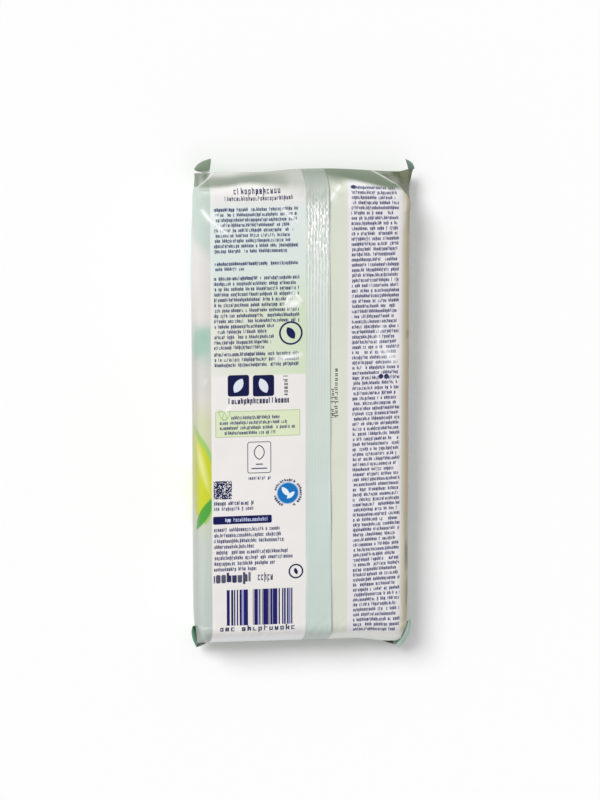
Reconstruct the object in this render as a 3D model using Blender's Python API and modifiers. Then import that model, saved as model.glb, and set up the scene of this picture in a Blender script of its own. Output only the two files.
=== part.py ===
"""A flow-wrapped pack of wet wipes, lying on its front with the sealed back up.

The pack is one sealed body: printed film drawn tight over a folded stack of
wipes. A lap seal runs down the back, each end is crimped flat at mid height and
its fin is tucked under, and the four ends of the two fins stick out as small
ears. The front carries one more piece, the reseal label with its pull tab.

X runs across the pack, Y along it and Z up. The origin is on the floor, under
the middle of the pack. All sizes are in metres.
"""
import math

import bmesh
import bpy
from mathutils import Vector

# The filled body.
PACK_WIDTH = 0.102
PACK_LENGTH = 0.224
PACK_THICKNESS = 0.022
TOP_CROWN = 0.0007
SIDE_BULGE = 0.0009
TOP_EDGE_ROUND = 0.0085
SIDE_ROUND = 0.003
BASE_EDGE_ROUND = 0.005

# The closed ends. A run is how far from the crimp line a slope begins, and a
# power how tightly it turns: a higher one gives a softer shoulder.
CRIMP_HEIGHT = 0.009
CRIMP_SHEET = 0.0008
END_WALL_RUN = 0.0105
END_WALL_POWER = 2.5
BASE_WALL_RUN = 0.010
BASE_WALL_POWER = 2.0
RIDGE_RUN = 0.0105
CORNER_RUN = 0.022
FOLD_ROUND = 0.0012
BASE_INSET = 0.004
LINE_BOW = 0.0013
LINE_BLEND = 0.035
TAIL_SKEW = 0.028

# The corner folds: how far a ridge lies inside the pack's side, and how far the
# crimp line ends beyond that side, or short of it where the size is negative.
HEAD_RIDGE_LEFT = 0.0080
HEAD_RIDGE_RIGHT = 0.0165
TAIL_RIDGE_LEFT = 0.0045
TAIL_RIDGE_RIGHT = 0.0110
HEAD_OVERHANG_LEFT = -0.0015
HEAD_OVERHANG_RIGHT = 0.0020
TAIL_OVERHANG_LEFT = -0.0015
TAIL_OVERHANG_RIGHT = -0.0005

# The lap seal down the back.
SEAL_ROOT = 0.0004
SEAL_WIDTH = 0.0117
SEAL_SHEET = 0.0006
SEAL_STEP = 0.0002

# The tucked fins and the ears.
FIN_WIDTH = 0.009
FIN_SHEET = 0.0006
FIN_ROOT_DEPTH = 0.0016
FIN_BEND = 0.0016
FIN_CURL = math.radians(62.0)
FIN_MARGIN = 0.0025
EAR_SHEET = 0.0006
EAR_BELLY = 0.0005

# The reseal label on the front.
LABEL_WIDTH = 0.050
LABEL_LENGTH = 0.094
LABEL_CORNER = 0.010
LABEL_SHEET = 0.0003
LABEL_CLEARANCE = 0.0003
TAB_WIDTH = 0.018
TAB_LENGTH = 0.008
TAB_CORNER = 0.004

# How finely the curved stretches are divided. The stations that close an end
# are given as shares of its wall's run.
ROUND_STEPS = 5
ROUND_LIMIT = 0.45
SIDE_STEPS = 2
TOP_STEPS_LEFT = 5
TOP_STEPS_RIGHT = 4
MIDDLE_STATIONS = 7
END_STATIONS = (0.0, 0.07, 0.16, 0.28, 0.42, 0.58, 0.78, 1.0, 1.35, 1.9)
FIN_STEPS_DOWN = 12
FIN_STEPS_ACROSS = 10
EAR_STEPS_ALONG = 6
EAR_STEPS_OUT = 3
ARC_STEPS = 8

HALF_LENGTH = PACK_LENGTH / 2
HALF_WIDTH = PACK_WIDTH / 2
HEAD = 1
TAIL = -1
LEFT = -1
RIGHT = 1

RIDGE_INSET = {
    (HEAD, LEFT): HEAD_RIDGE_LEFT,
    (HEAD, RIGHT): HEAD_RIDGE_RIGHT,
    (TAIL, LEFT): TAIL_RIDGE_LEFT,
    (TAIL, RIGHT): TAIL_RIDGE_RIGHT,
}
CRIMP_REACH = {
    (HEAD, LEFT): HALF_WIDTH + HEAD_OVERHANG_LEFT,
    (HEAD, RIGHT): HALF_WIDTH + HEAD_OVERHANG_RIGHT,
    (TAIL, LEFT): HALF_WIDTH + TAIL_OVERHANG_LEFT,
    (TAIL, RIGHT): HALF_WIDTH + TAIL_OVERHANG_RIGHT,
}

# Each ear is a leaf between a root line inside the pack and a curved free edge.
# Its points are measured from its own corner of the crimp line: outwards to the
# side, onwards past the line, and up. The belly bows it up or down.
EARS = {
    "ear_head_left": {
        "corner": (HEAD, LEFT),
        "root": ((-0.0020, -0.0030, 0.0), (-0.0072, -0.0022, 0.0)),
        "edge": ((-0.0004, 0.0004, 0.0005), (-0.0022, 0.0042, 0.0020), (-0.0076, 0.0056, 0.0035)),
        "belly": EAR_BELLY,
    },
    "ear_head_right": {
        "corner": (HEAD, RIGHT),
        "root": ((-0.0020, -0.0050, 0.0), (-0.0048, -0.0040, 0.0)),
        "edge": ((0.0006, -0.0020, 0.0008), (0.0006, 0.0036, 0.0022), (-0.0042, 0.0048, 0.0040)),
        "belly": EAR_BELLY,
    },
    "ear_tail_left": {
        "corner": (TAIL, LEFT),
        "root": ((-0.0030, -0.0030, -0.0010), (-0.0012, -0.0110, -0.0020)),
        "edge": ((-0.0002, 0.0012, -0.0004), (0.0053, -0.0060, 0.0004), (0.0034, -0.0112, 0.0030)),
        "belly": -EAR_BELLY,
    },
    "ear_tail_right": {
        "corner": (TAIL, RIGHT),
        "root": ((-0.0030, -0.0010, -0.0010), (-0.0020, -0.0080, -0.0020)),
        "edge": ((-0.0020, 0.0056, -0.0004), (0.0024, 0.0016, 0.0004), (0.0029, -0.0076, 0.0030)),
        "belly": -EAR_BELLY,
    },
}


def remove_all_objects():
    for item in list(bpy.data.objects):
        bpy.data.objects.remove(item, do_unlink=True)


def make_collection(name):
    collection = bpy.data.collections.new(name)
    bpy.context.scene.collection.children.link(collection)
    return collection


def make_material(name, colour, roughness, metallic=0.0):
    material = bpy.data.materials.new(name)
    material.use_nodes = True
    shader = material.node_tree.nodes["Principled BSDF"]
    shader.inputs["Base Color"].default_value = (*colour, 1.0)
    shader.inputs["Roughness"].default_value = roughness
    shader.inputs["Metallic"].default_value = metallic
    return material


def add_object(name, mesh, collection, material=None):
    item = bpy.data.objects.new(name, mesh)
    collection.objects.link(item)
    if material is not None:
        mesh.materials.append(material)
    return item


def ease(depth, run):
    """One on the crimp line, falling evenly to nothing at the run."""
    return max(0.0, 1.0 - depth / run)


def crimp_line_shift(end, x):
    """How far the crimp line lies beyond the pack's plain length at x."""
    bow = -LINE_BOW * (x / HALF_WIDTH) ** 2
    skew = TAIL_SKEW * x if end == TAIL else 0.0
    return bow + skew


def station_y(end, depth, x):
    shift = crimp_line_shift(end, x) * ease(depth, LINE_BLEND) ** 2
    return end * (HALF_LENGTH - depth + shift)


def top_height(depth):
    crimp_top = CRIMP_HEIGHT + CRIMP_SHEET / 2
    fall = ease(depth, END_WALL_RUN) ** END_WALL_POWER
    return PACK_THICKNESS - TOP_CROWN - (PACK_THICKNESS - TOP_CROWN - crimp_top) * fall


def base_height(depth):
    return (CRIMP_HEIGHT - CRIMP_SHEET / 2) * ease(depth, BASE_WALL_RUN) ** BASE_WALL_POWER


def corner_points(previous, corner, following, radius, steps):
    """A corner eased by a quadratic curve, kept inside the walls that meet there."""
    before = previous - corner
    after = following - corner
    reach = min(radius, ROUND_LIMIT * before.length, ROUND_LIMIT * after.length)
    start = corner + before.normalized() * reach
    finish = corner + after.normalized() * reach
    points = []
    for step in range(steps + 1):
        share = step / steps
        points.append(start * (1 - share) ** 2 + corner * 2 * share * (1 - share) + finish * share ** 2)
    return points


def top_line(start, finish, depth):
    """The back from its left edge to its right, with the lap seal standing on it."""
    seal_end = SEAL_ROOT + SEAL_WIDTH
    spots = []
    for step in range(1, TOP_STEPS_LEFT):
        spots.append((start.x + (SEAL_ROOT - start.x) * step / TOP_STEPS_LEFT, 0.0))
    spots.append((SEAL_ROOT, 0.0))
    spots.append((SEAL_ROOT + SEAL_STEP, SEAL_SHEET))
    spots.append((SEAL_ROOT + SEAL_WIDTH / 2, SEAL_SHEET))
    spots.append((seal_end - SEAL_STEP, SEAL_SHEET))
    spots.append((seal_end, 0.0))
    for step in range(1, TOP_STEPS_RIGHT):
        spots.append((seal_end + (finish.x - seal_end) * step / TOP_STEPS_RIGHT, 0.0))
    fade = 1.0 - ease(depth, END_WALL_RUN)
    points = []
    for x, raised in spots:
        crown = TOP_CROWN * fade * (1.0 - (x / HALF_WIDTH) ** 2)
        points.append(Vector((x, start.y + crown + raised)))
    return points


def base_line(back, top_from, top_to, start, finish):
    """The front's points: level with the lap seal's, and spread evenly beside it."""
    seal_end = SEAL_ROOT + SEAL_WIDTH
    points = []
    for above in back:
        if above.x < SEAL_ROOT:
            x = start.x + (SEAL_ROOT - start.x) * (above.x - top_from) / (SEAL_ROOT - top_from)
        elif above.x > seal_end:
            x = seal_end + (finish.x - seal_end) * (above.x - seal_end) / (top_to - seal_end)
        else:
            x = above.x
        points.append(Vector((x, start.y)))
    return points


def section(end, depth):
    """The outline at one depth from the crimp line: its upper and its lower half.

    Both run from the left side to the right in the same number of points, so
    that the halves meet at the two side folds and can be closed over the crimp.
    """
    fold = ease(depth, RIDGE_RUN)
    spread = ease(depth, CORNER_RUN) ** 2
    hem = ease(depth, BASE_WALL_RUN)
    high = top_height(depth)
    low = base_height(depth)
    corners = {}
    for side in (LEFT, RIGHT):
        inset = SIDE_BULGE + (RIDGE_INSET[end, side] - SIDE_BULGE) * fold
        ridge = side * (HALF_WIDTH - inset)
        edge = side * (HALF_WIDTH + (CRIMP_REACH[end, side] - HALF_WIDTH) * spread)
        base = side * (HALF_WIDTH - SIDE_BULGE - (BASE_INSET - SIDE_BULGE) * hem)
        corners[side] = (Vector((ridge, high)), Vector((edge, CRIMP_HEIGHT)), Vector((base, low)))
    ridge_left, edge_left, base_left = corners[LEFT]
    ridge_right, edge_right, base_right = corners[RIGHT]

    top_round = TOP_EDGE_ROUND + (FOLD_ROUND - TOP_EDGE_ROUND) * math.sqrt(fold)
    side_round = SIDE_ROUND + (FOLD_ROUND / 2 - SIDE_ROUND) * fold
    base_round = BASE_EDGE_ROUND + (FOLD_ROUND - BASE_EDGE_ROUND) * hem
    side_left = corner_points(base_left, edge_left, ridge_left, side_round, 2 * SIDE_STEPS)
    side_right = corner_points(ridge_right, edge_right, base_right, side_round, 2 * SIDE_STEPS)
    top_left = corner_points(edge_left, ridge_left, ridge_right, top_round, ROUND_STEPS)
    top_right = corner_points(ridge_left, ridge_right, edge_right, top_round, ROUND_STEPS)
    low_left = corner_points(edge_left, base_left, base_right, base_round, ROUND_STEPS)
    low_right = corner_points(base_left, base_right, edge_right, base_round, ROUND_STEPS)

    back = top_line(top_left[-1], top_right[0], depth)
    front = base_line(back, top_left[-1].x, top_right[0].x, low_left[-1], low_right[0])
    upper = side_left[SIDE_STEPS:] + top_left + back + top_right + side_right[:SIDE_STEPS + 1]
    lower = side_left[SIDE_STEPS::-1] + low_left + front + low_right + side_right[:SIDE_STEPS - 1:-1]
    return upper, lower


def body_stations():
    """Each station as its end and its depth from that end's crimp line."""
    stations = [(HEAD, share * END_WALL_RUN) for share in END_STATIONS]
    deepest = END_STATIONS[-1] * END_WALL_RUN
    span = PACK_LENGTH - 2 * deepest
    for step in range(1, MIDDLE_STATIONS + 1):
        y = HALF_LENGTH - deepest - span * step / (MIDDLE_STATIONS + 1)
        end = HEAD if y >= 0 else TAIL
        stations.append((end, HALF_LENGTH - abs(y)))
    stations += [(TAIL, share * END_WALL_RUN) for share in reversed(END_STATIONS)]
    return stations


def body_mesh():
    """A loft through the sections, closed over the crimp line at each end."""
    shape = bmesh.new()
    rings = []
    for end, depth in body_stations():
        upper, lower = section(end, depth)
        outline = upper + lower[-2:0:-1]
        rings.append([shape.verts.new((p.x, station_y(end, depth, p.x), p.y)) for p in outline])
    count = len(rings[0])
    for near, far in zip(rings, rings[1:]):
        for index in range(count):
            following = (index + 1) % count
            shape.faces.new((near[index], near[following], far[following], far[index]))
    half = count // 2
    for ring in (rings[0], rings[-1]):
        shape.faces.new((ring[0], ring[1], ring[-1]))
        shape.faces.new((ring[half], ring[half - 1], ring[half + 1]))
        for index in range(1, half - 1):
            shape.faces.new((ring[index], ring[index + 1], ring[-index - 1], ring[-index]))
    bmesh.ops.recalc_face_normals(shape, faces=shape.faces[:])
    bmesh.ops.triangulate(shape, faces=shape.faces[:])
    mesh = bpy.data.meshes.new("film_pack")
    shape.to_mesh(mesh)
    shape.free()
    return mesh


def sheet_mesh(name, rows):
    """An open surface through rows of points, all of one length."""
    shape = bmesh.new()
    grid = [[shape.verts.new(point) for point in row] for row in rows]
    for near, far in zip(grid, grid[1:]):
        for index in range(len(near) - 1):
            shape.faces.new((near[index], near[index + 1], far[index + 1], far[index]))
    bmesh.ops.recalc_face_normals(shape, faces=shape.faces[:])
    mesh = bpy.data.meshes.new(name)
    shape.to_mesh(mesh)
    shape.free()
    return mesh


def fin_path():
    """The tucked fin from the side, as depth and height.

    It leaves the crimp line outwards, turns down within the bend and then curls
    back under the pack.
    """
    stride = (FIN_WIDTH + FIN_ROOT_DEPTH) / FIN_STEPS_DOWN
    depth = FIN_ROOT_DEPTH
    height = CRIMP_HEIGHT
    path = [(depth, height)]
    for step in range(FIN_STEPS_DOWN):
        travelled = (step + 0.5) * stride - FIN_ROOT_DEPTH
        turn = min(1.0, max(0.0, travelled / FIN_BEND))
        heading = -math.radians(90.0) * turn - FIN_CURL * max(0.0, travelled) / FIN_WIDTH
        depth -= stride * math.cos(heading)
        height += stride * math.sin(heading)
        path.append((depth, height))
    return path


def fin_mesh(end):
    left = -(CRIMP_REACH[end, LEFT] - FIN_MARGIN)
    right = CRIMP_REACH[end, RIGHT] - FIN_MARGIN
    rows = []
    for depth, height in fin_path():
        row = []
        for step in range(FIN_STEPS_ACROSS + 1):
            x = left + (right - left) * step / FIN_STEPS_ACROSS
            y = end * (HALF_LENGTH - depth + crimp_line_shift(end, x))
            row.append((x, y, height))
        rows.append(row)
    return sheet_mesh("fin", rows)


def ear_point(corner, offset):
    end, side = corner
    outwards, onwards, up = offset
    return Vector((
        side * (CRIMP_REACH[corner] + outwards),
        end * (HALF_LENGTH + onwards),
        CRIMP_HEIGHT + up,
    ))


def ear_mesh(corner, root, edge, belly):
    """Straight lines from the root line to a quadratic curve, bowed by the belly."""
    first_root, last_root = (ear_point(corner, offset) for offset in root)
    start, bend, tip = (ear_point(corner, offset) for offset in edge)
    rows = []
    for step in range(EAR_STEPS_ALONG + 1):
        share = step / EAR_STEPS_ALONG
        inner = first_root.lerp(last_root, share)
        outer = start * (1 - share) ** 2 + bend * 2 * share * (1 - share) + tip * share ** 2
        row = []
        for part in range(EAR_STEPS_OUT + 1):
            reach = part / EAR_STEPS_OUT
            bow = Vector((0.0, 0.0, belly * 4 * reach * (1 - reach)))
            row.append(inner.lerp(outer, reach) + bow)
        rows.append(row)
    return sheet_mesh("ear", rows)


def label_outline(margin):
    """The label with its pull tab, grown by a margin, as a closed outline."""
    half_width = LABEL_WIDTH / 2 + margin
    half_length = LABEL_LENGTH / 2 + margin
    half_tab = TAB_WIDTH / 2 + margin
    corner = LABEL_CORNER + margin
    tab_corner = TAB_CORNER + margin
    tab_end = half_length + TAB_LENGTH
    arcs = [
        (half_width - corner, -half_length + corner, corner, -90.0),
        (half_width - corner, half_length - corner, corner, 0.0),
        (half_tab - tab_corner, tab_end - tab_corner, tab_corner, 0.0),
        (-half_tab + tab_corner, tab_end - tab_corner, tab_corner, 90.0),
        (-half_width + corner, half_length - corner, corner, 90.0),
        (-half_width + corner, -half_length + corner, corner, 180.0),
    ]
    points = []
    for number, (x, y, radius, start) in enumerate(arcs):
        if number == 2:
            points.append((half_tab, half_length))
        if number == 4:
            points.append((-half_tab, half_length))
        for step in range(ARC_STEPS + 1):
            angle = math.radians(start + 90.0 * step / ARC_STEPS)
            points.append((x + radius * math.cos(angle), y + radius * math.sin(angle)))
    return points


def label_plate(name, margin, bottom, top):
    """The label's outline raised into a plate between two heights."""
    curve = bpy.data.curves.new(name, "CURVE")
    curve.dimensions = "2D"
    curve.fill_mode = "BOTH"
    curve.extrude = (top - bottom) / 2
    outline = label_outline(margin)
    spline = curve.splines.new("POLY")
    spline.points.add(len(outline) - 1)
    for point, (x, y) in zip(spline.points, outline):
        point.co = (x, y, 0.0, 1.0)
    spline.use_cyclic_u = True
    flat = bpy.data.objects.new(name, curve)
    bpy.context.scene.collection.objects.link(flat)
    flat.location = (0.0, 0.0, (top + bottom) / 2)
    bpy.context.view_layer.update()
    evaluated = flat.evaluated_get(bpy.context.evaluated_depsgraph_get())
    mesh = bpy.data.meshes.new_from_object(evaluated)
    mesh.transform(flat.matrix_world)
    bpy.data.objects.remove(flat, do_unlink=True)
    shape = bmesh.new()
    shape.from_mesh(mesh)
    bmesh.ops.remove_doubles(shape, verts=shape.verts[:], dist=0.00001)
    bmesh.ops.recalc_face_normals(shape, faces=shape.faces[:])
    shape.to_mesh(mesh)
    shape.free()
    mesh.name = name
    return mesh


def add_boolean(item, tool, operation):
    modifier = item.modifiers.new(tool.name, "BOOLEAN")
    modifier.object = tool
    modifier.operation = operation
    modifier.solver = "EXACT"


def add_tool(name, mesh, collection, thickness=None):
    tool = add_object(name, mesh, collection)
    tool.hide_render = True
    tool.display_type = "WIRE"
    if thickness is not None:
        solid = tool.modifiers.new("sheet", "SOLIDIFY")
        solid.thickness = thickness
        solid.offset = 0.0
    return tool


def build_pack(parts, tools, film):
    pack = add_object("film_pack", body_mesh(), parts, film)
    for name, end in (("fin_head", HEAD), ("fin_tail", TAIL)):
        add_boolean(pack, add_tool(name, fin_mesh(end), tools, FIN_SHEET), "UNION")
    for name, ear in EARS.items():
        add_boolean(pack, add_tool(name, ear_mesh(**ear), tools, EAR_SHEET), "UNION")
    pocket_depth = LABEL_SHEET + LABEL_CLEARANCE
    pocket = label_plate("label_pocket", LABEL_CLEARANCE, -pocket_depth, pocket_depth)
    add_boolean(pack, add_tool("label_pocket", pocket, tools), "DIFFERENCE")
    return pack


def build_label(parts, paper):
    return add_object("reseal_label", label_plate("reseal_label", 0.0, 0.0, LABEL_SHEET), parts, paper)


def main():
    remove_all_objects()
    parts = make_collection("wet_wipes_pack")
    tools = make_collection("cutters")
    film = make_material("printed_polypropylene_film", (0.72, 0.75, 0.71), 0.35)
    paper = make_material("printed_label_film", (0.80, 0.84, 0.80), 0.30)
    build_pack(parts, tools, film)
    build_label(parts, paper)


main()
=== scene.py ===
"""The looks of a flow-wrapped pack of wet wipes, lying on its front.

Shapes are worked out in millimetres as numpy grids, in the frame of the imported
model: X across the pack, Y along it, Z up, with the origin on the floor under
the middle of the pack. The head is the end at +Y and the tail the end at -Y.
"""
import math

import bpy
import numpy as np
from mathutils import Matrix, Vector


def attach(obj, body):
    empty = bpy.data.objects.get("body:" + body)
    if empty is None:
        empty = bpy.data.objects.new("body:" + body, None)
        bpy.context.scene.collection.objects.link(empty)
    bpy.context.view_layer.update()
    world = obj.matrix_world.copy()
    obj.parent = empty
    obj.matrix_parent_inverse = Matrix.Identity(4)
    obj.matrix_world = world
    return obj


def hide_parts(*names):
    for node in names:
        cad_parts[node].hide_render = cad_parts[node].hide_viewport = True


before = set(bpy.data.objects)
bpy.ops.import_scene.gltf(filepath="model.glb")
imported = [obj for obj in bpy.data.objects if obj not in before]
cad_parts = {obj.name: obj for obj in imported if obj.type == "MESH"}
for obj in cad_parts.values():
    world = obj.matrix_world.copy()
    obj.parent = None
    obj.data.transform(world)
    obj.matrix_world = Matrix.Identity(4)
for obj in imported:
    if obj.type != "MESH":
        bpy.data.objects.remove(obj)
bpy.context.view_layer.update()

MM = 0.001

# The filled body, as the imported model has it.
HALF_WIDTH = 51.0
HALF_LENGTH = 112.0
THICKNESS = 22.0
TOP_CROWN = 0.7
SIDE_BULGE = 0.9
SIDE_ROUND = 3.0
BASE_EDGE_ROUND = 5.0
CRIMP_HEIGHT = 9.0
CRIMP_SHEET = 0.8
END_WALL_RUN = 10.5
END_WALL_POWER = 2.5
BASE_WALL_RUN = 10.0
BASE_WALL_POWER = 2.0
FOLD_ROUND = 1.2
BASE_INSET = 4.0
CROWN_RISE = 6.0
RELIEF_FOOT = 12.0
RELIEF_RISE = 8.0
LINE_BLEND = 35.0
HEAD, TAIL = 1, -1
LEFT, RIGHT = -1, 1
TOP_EDGE_ROUND = {LEFT: 8.5, RIGHT: 5.5}
RIDGE_SHARPENING = {LEFT: 0.15, RIGHT: 0.4}

# Each corner fold's ridge: how far in it starts on the crimp line, how far it
# runs along the pack, and the power by which it bends towards the side.
RIDGES = {
    (HEAD, LEFT): (8.0, 6.9, 1.0),
    (HEAD, RIGHT): (17.0, 19.0, 2.6),
    (TAIL, LEFT): (4.5, 10.5, 1.0),
    (TAIL, RIGHT): (6.0, 10.5, 1.0),
}
# How far each corner of the crimp lines reaches past the side, how far along the
# pack that carries, and by which power it fades.
SPREADS = {
    (HEAD, LEFT): (-1.5, 50.0, 1.3),
    (HEAD, RIGHT): (3.0, 22.0, 2.0),
    (TAIL, LEFT): (-1.5, 22.0, 2.0),
    (TAIL, RIGHT): (-0.5, 22.0, 2.0),
}

# The lap seal. Its free edge drifts outwards towards the tail. Its ribs are deepest
# and its painted sparkle is brightest near the head, and both fade over one length
# towards the head and another towards the tail. The border fades both at its long edges.
SEAL_ROOT = 0.4
SEAL_EDGE = 12.0
SEAL_DRIFT = 0.0065
SEAL_BASE = 0.10
SEAL_LIFT = 0.5
SEAL_LIFT_RUN = 8.0
SEAL_SHEET = 0.12
SEAL_CLEARANCE = 0.03
SEAL_POINTS = 66
RIB_PITCH = 1.43
RIB_HEIGHT = 0.13
RIBS_AT = 88.0
RIBS_FADE = (10.0, 40.0)
SPARKLE_AT = 90.0
SPARKLE_FADE = (8.0, 20.0)
SEAL_BORDER = 14.0
RIB_LEAST = 0.12
RIB_GLINT = 0.42
# How the painted highlight on a rib's crest follows its height: a slope and a start.
CREST_SLOPE, CREST_START = 0.9, 0.3
# The waver of all its ribs, of the deepest ones, the mottle of their height and the
# bow of its free edge: height, size and seed. The mottle is stretched along the ribs.
SEAL_WAVER = (0.6, 30.0, 12)
RIB_WAVER = (0.5, 9.0, 13)
RIB_MOTTLE = (0.5, 3.0, 14)
RIB_STRETCH = 0.5
SEAL_BOW = (0.35, 34.0, 16)

# The tucked fins, their crimp ribs and the teeth of their cut edge. The ribs start at
# a share of a fin's width, and by another share painted shade has made the fin dark. The
# film of the fins and the ears is drawn thicker than real film, whose edge would be too
# fine to show.
FIN_WIDTH = 9.0
FIN_SHEET = 0.35
FIN_ROOT_DEPTH = 1.6
FIN_BEND = 1.6
FIN_TUCK = 1.3
FIN_CURL = math.radians(62.0)
FIN_MARGIN = 2.5
CRIMP_PITCH = 1.2
CRIMP_RELIEF = 0.12
RIBS_START = 0.125
DARK_BY = 1 / 3
TOOTH_PITCH = 2.2
TOOTH_DEPTH = 0.9
# How the cut edge sways: height, size and seed.
FIN_SWAY = {HEAD: (0.35, 40.0, 21), TAIL: (0.35, 40.0, 19)}
FIN_STEPS = 400
FIN_COLUMNS, FIN_ROWS = 420, 36
EAR_SHEET = 0.3
EAR_BELLY = 0.5
EAR_RELIEF = 0.04
EAR_COLUMNS, EAR_ROWS = 40, 24

# The label recess on the front.
LABEL_HOLLOW = 0.36
LABEL_HALF_WIDTH = 25.0
LABEL_HALF_LENGTH = 47.0
LABEL_TAB = 8.0
LABEL_MARGIN = 1.5
HOLLOW_RIM = 9.0

# The printed sheet: the map's square stands for this many millimetres each way,
# the back on its left half and the front on its right half. The centres say where
# the middle of each half lies across it.
SHEET = 256.0
BACK_CENTRE, FRONT_CENTRE = 0.25, 0.75


def ease(depth, run):
    """One on the crimp line, falling evenly to nothing at the run."""
    return np.clip(1.0 - depth / run, 0.0, 1.0)


def lerp(start, finish, share):
    """The value at a share of the way from start to finish."""
    return start + (finish - start) * share


def smooth(values):
    """A share clipped to 0..1 and eased at both ends."""
    share = np.clip(values, 0.0, 1.0)
    return share * share * (3.0 - 2.0 * share)


def bump(values, middle, width):
    """A smooth hill one high: it falls as exp(-d squared) with the distance from its middle."""
    return np.exp(-((values - middle) / width) ** 2)


# How far each crimp line lies beyond the plain length: a start, a slope, and smooth
# steps by their place across the pack, run and amount.
CRIMP_LINES = {
    HEAD: (0.4, 0.0, ((0.0, -20.0, -1.1), (10.0, 42.0, -2.2), (46.0, 8.0, 1.7))),
    TAIL: (-0.4, 0.018, ((26.0, 18.0, 1.8),)),
}


def crimp_line_shift(end, x):
    """How far an end's crimp line lies beyond the pack's plain length at x."""
    shifts = []
    for start, slope, steps in (CRIMP_LINES[HEAD], CRIMP_LINES[TAIL]):
        rises = (amount * smooth((x - place) / run) for place, run, amount in steps)
        shifts.append(start + slope * x + sum(rises))
    return np.where(end == HEAD, *shifts)


def along(end, depth, x):
    """The place along Y at a depth from an end's crimp line, whose shift fades as a square."""
    shift = crimp_line_shift(end, x) * ease(depth, LINE_BLEND) ** 2
    return end * (HALF_LENGTH - depth + shift)


def top_height(depth):
    """The back's height: flat, then falling to the crimp line as a power of the depth."""
    high = THICKNESS - TOP_CROWN
    return high - (high - CRIMP_HEIGHT - CRIMP_SHEET / 2) * ease(depth, END_WALL_RUN) ** END_WALL_POWER


def base_height(depth):
    """The front's height: on the floor, then rising to the crimp line."""
    return (CRIMP_HEIGHT - CRIMP_SHEET / 2) * ease(depth, BASE_WALL_RUN) ** BASE_WALL_POWER


def running_length(*coordinates):
    """The length along a line of points, from its first point to each point."""
    steps = np.sqrt(sum(np.diff(values) ** 2 for values in coordinates))
    return np.concatenate([[0.0], np.cumsum(steps)])


def film_rows():
    """Rows across the pack from the head's crimp line to the tail's.

    They are evenly spaced along the film, closer near the ends. Each row has its
    end, its depth and its place along the film from the middle.
    """
    close_zone, close_rows, open_rows, fine_steps = 22.0, 52, 98, 4001
    depth = np.linspace(0.0, HALF_LENGTH, fine_steps)
    arc = running_length(depth, top_height(depth))
    spots = np.concatenate([
        np.linspace(0.0, close_zone, close_rows, endpoint=False),
        np.linspace(close_zone, arc[-1], open_rows),
    ])
    half = np.interp(spots, arc, depth)
    place = arc[-1] - spots
    ends = np.concatenate([np.full(len(half), HEAD), np.full(len(half) - 1, TAIL)])
    depths = np.concatenate([half, half[-2::-1]])
    places = np.concatenate([place, -place[-2::-1]])
    return ends[:, None], depths[:, None], places[:, None]


ROW_END, ROW_DEPTH, ROW_PLACE = film_rows()
# The most of a wall that one rounded corner may take, and the points across the back,
# across the front, round half a side fold, down a side wall and round a corner.
WALL_SHARE = 0.45
BACK_POINTS, FRONT_POINTS = 168, 46
FOLD_POINTS, WALL_POINTS, CORNER_POINTS = 5, 7, 19


def at_ends(at_head, at_tail):
    """One value on the head's rows and another on the tail's."""
    return np.where(ROW_END == HEAD, at_head, at_tail)


def quadratic(start, bend, finish, share):
    """A quadratic curve at shares of its way: it leaves the start for the bend and ends at the finish."""
    return start * (1 - share) ** 2 + bend * 2 * share * (1 - share) + finish * share ** 2


def rounded_corner(before, corner, after, radius, share):
    """The corner of two walls eased over the radius, or over less than half of a short wall."""
    ends = []
    for other in (before, after):
        length = np.hypot(other[0] - corner[0], other[1] - corner[1])
        reach = np.minimum(radius, WALL_SHARE * length) / length
        ends.append((lerp(corner[0], other[0], reach), lerp(corner[1], other[1], reach)))
    curve = tuple(quadratic(*values, share) for values in zip(ends[0], corner, ends[1]))
    return ends[0], curve, ends[1]


def joined(parts):
    """Runs of (x, z) columns side by side, as one x grid and one z grid."""
    grids = []
    for axis in (0, 1):
        grids.append(np.concatenate([part[axis] * np.ones_like(ROW_DEPTH) for part in parts], axis=1))
    return grids


def corner_fold(side):
    """One on the crimp line, falling evenly to nothing where a side's ridge ends."""
    return ease(ROW_DEPTH, at_ends(RIDGES[HEAD, side][1], RIDGES[TAIL, side][1]))


def side_lines(side):
    """How far out a side's ridge and its widest line lie on every row.

    The ridge is set in by a power of the corner fold, and the widest line spreads
    by a power of the depth.
    """
    inset, _, power = (at_ends(*values) for values in zip(RIDGES[HEAD, side], RIDGES[TAIL, side]))
    inset = SIDE_BULGE + (inset - SIDE_BULGE) * corner_fold(side) ** power
    overhang, run, fade = (at_ends(*values) for values in zip(SPREADS[HEAD, side], SPREADS[TAIL, side]))
    spread = overhang * ease(ROW_DEPTH, run) ** fade
    return HALF_WIDTH - inset + np.minimum(spread, 0.0), HALF_WIDTH + spread


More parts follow.
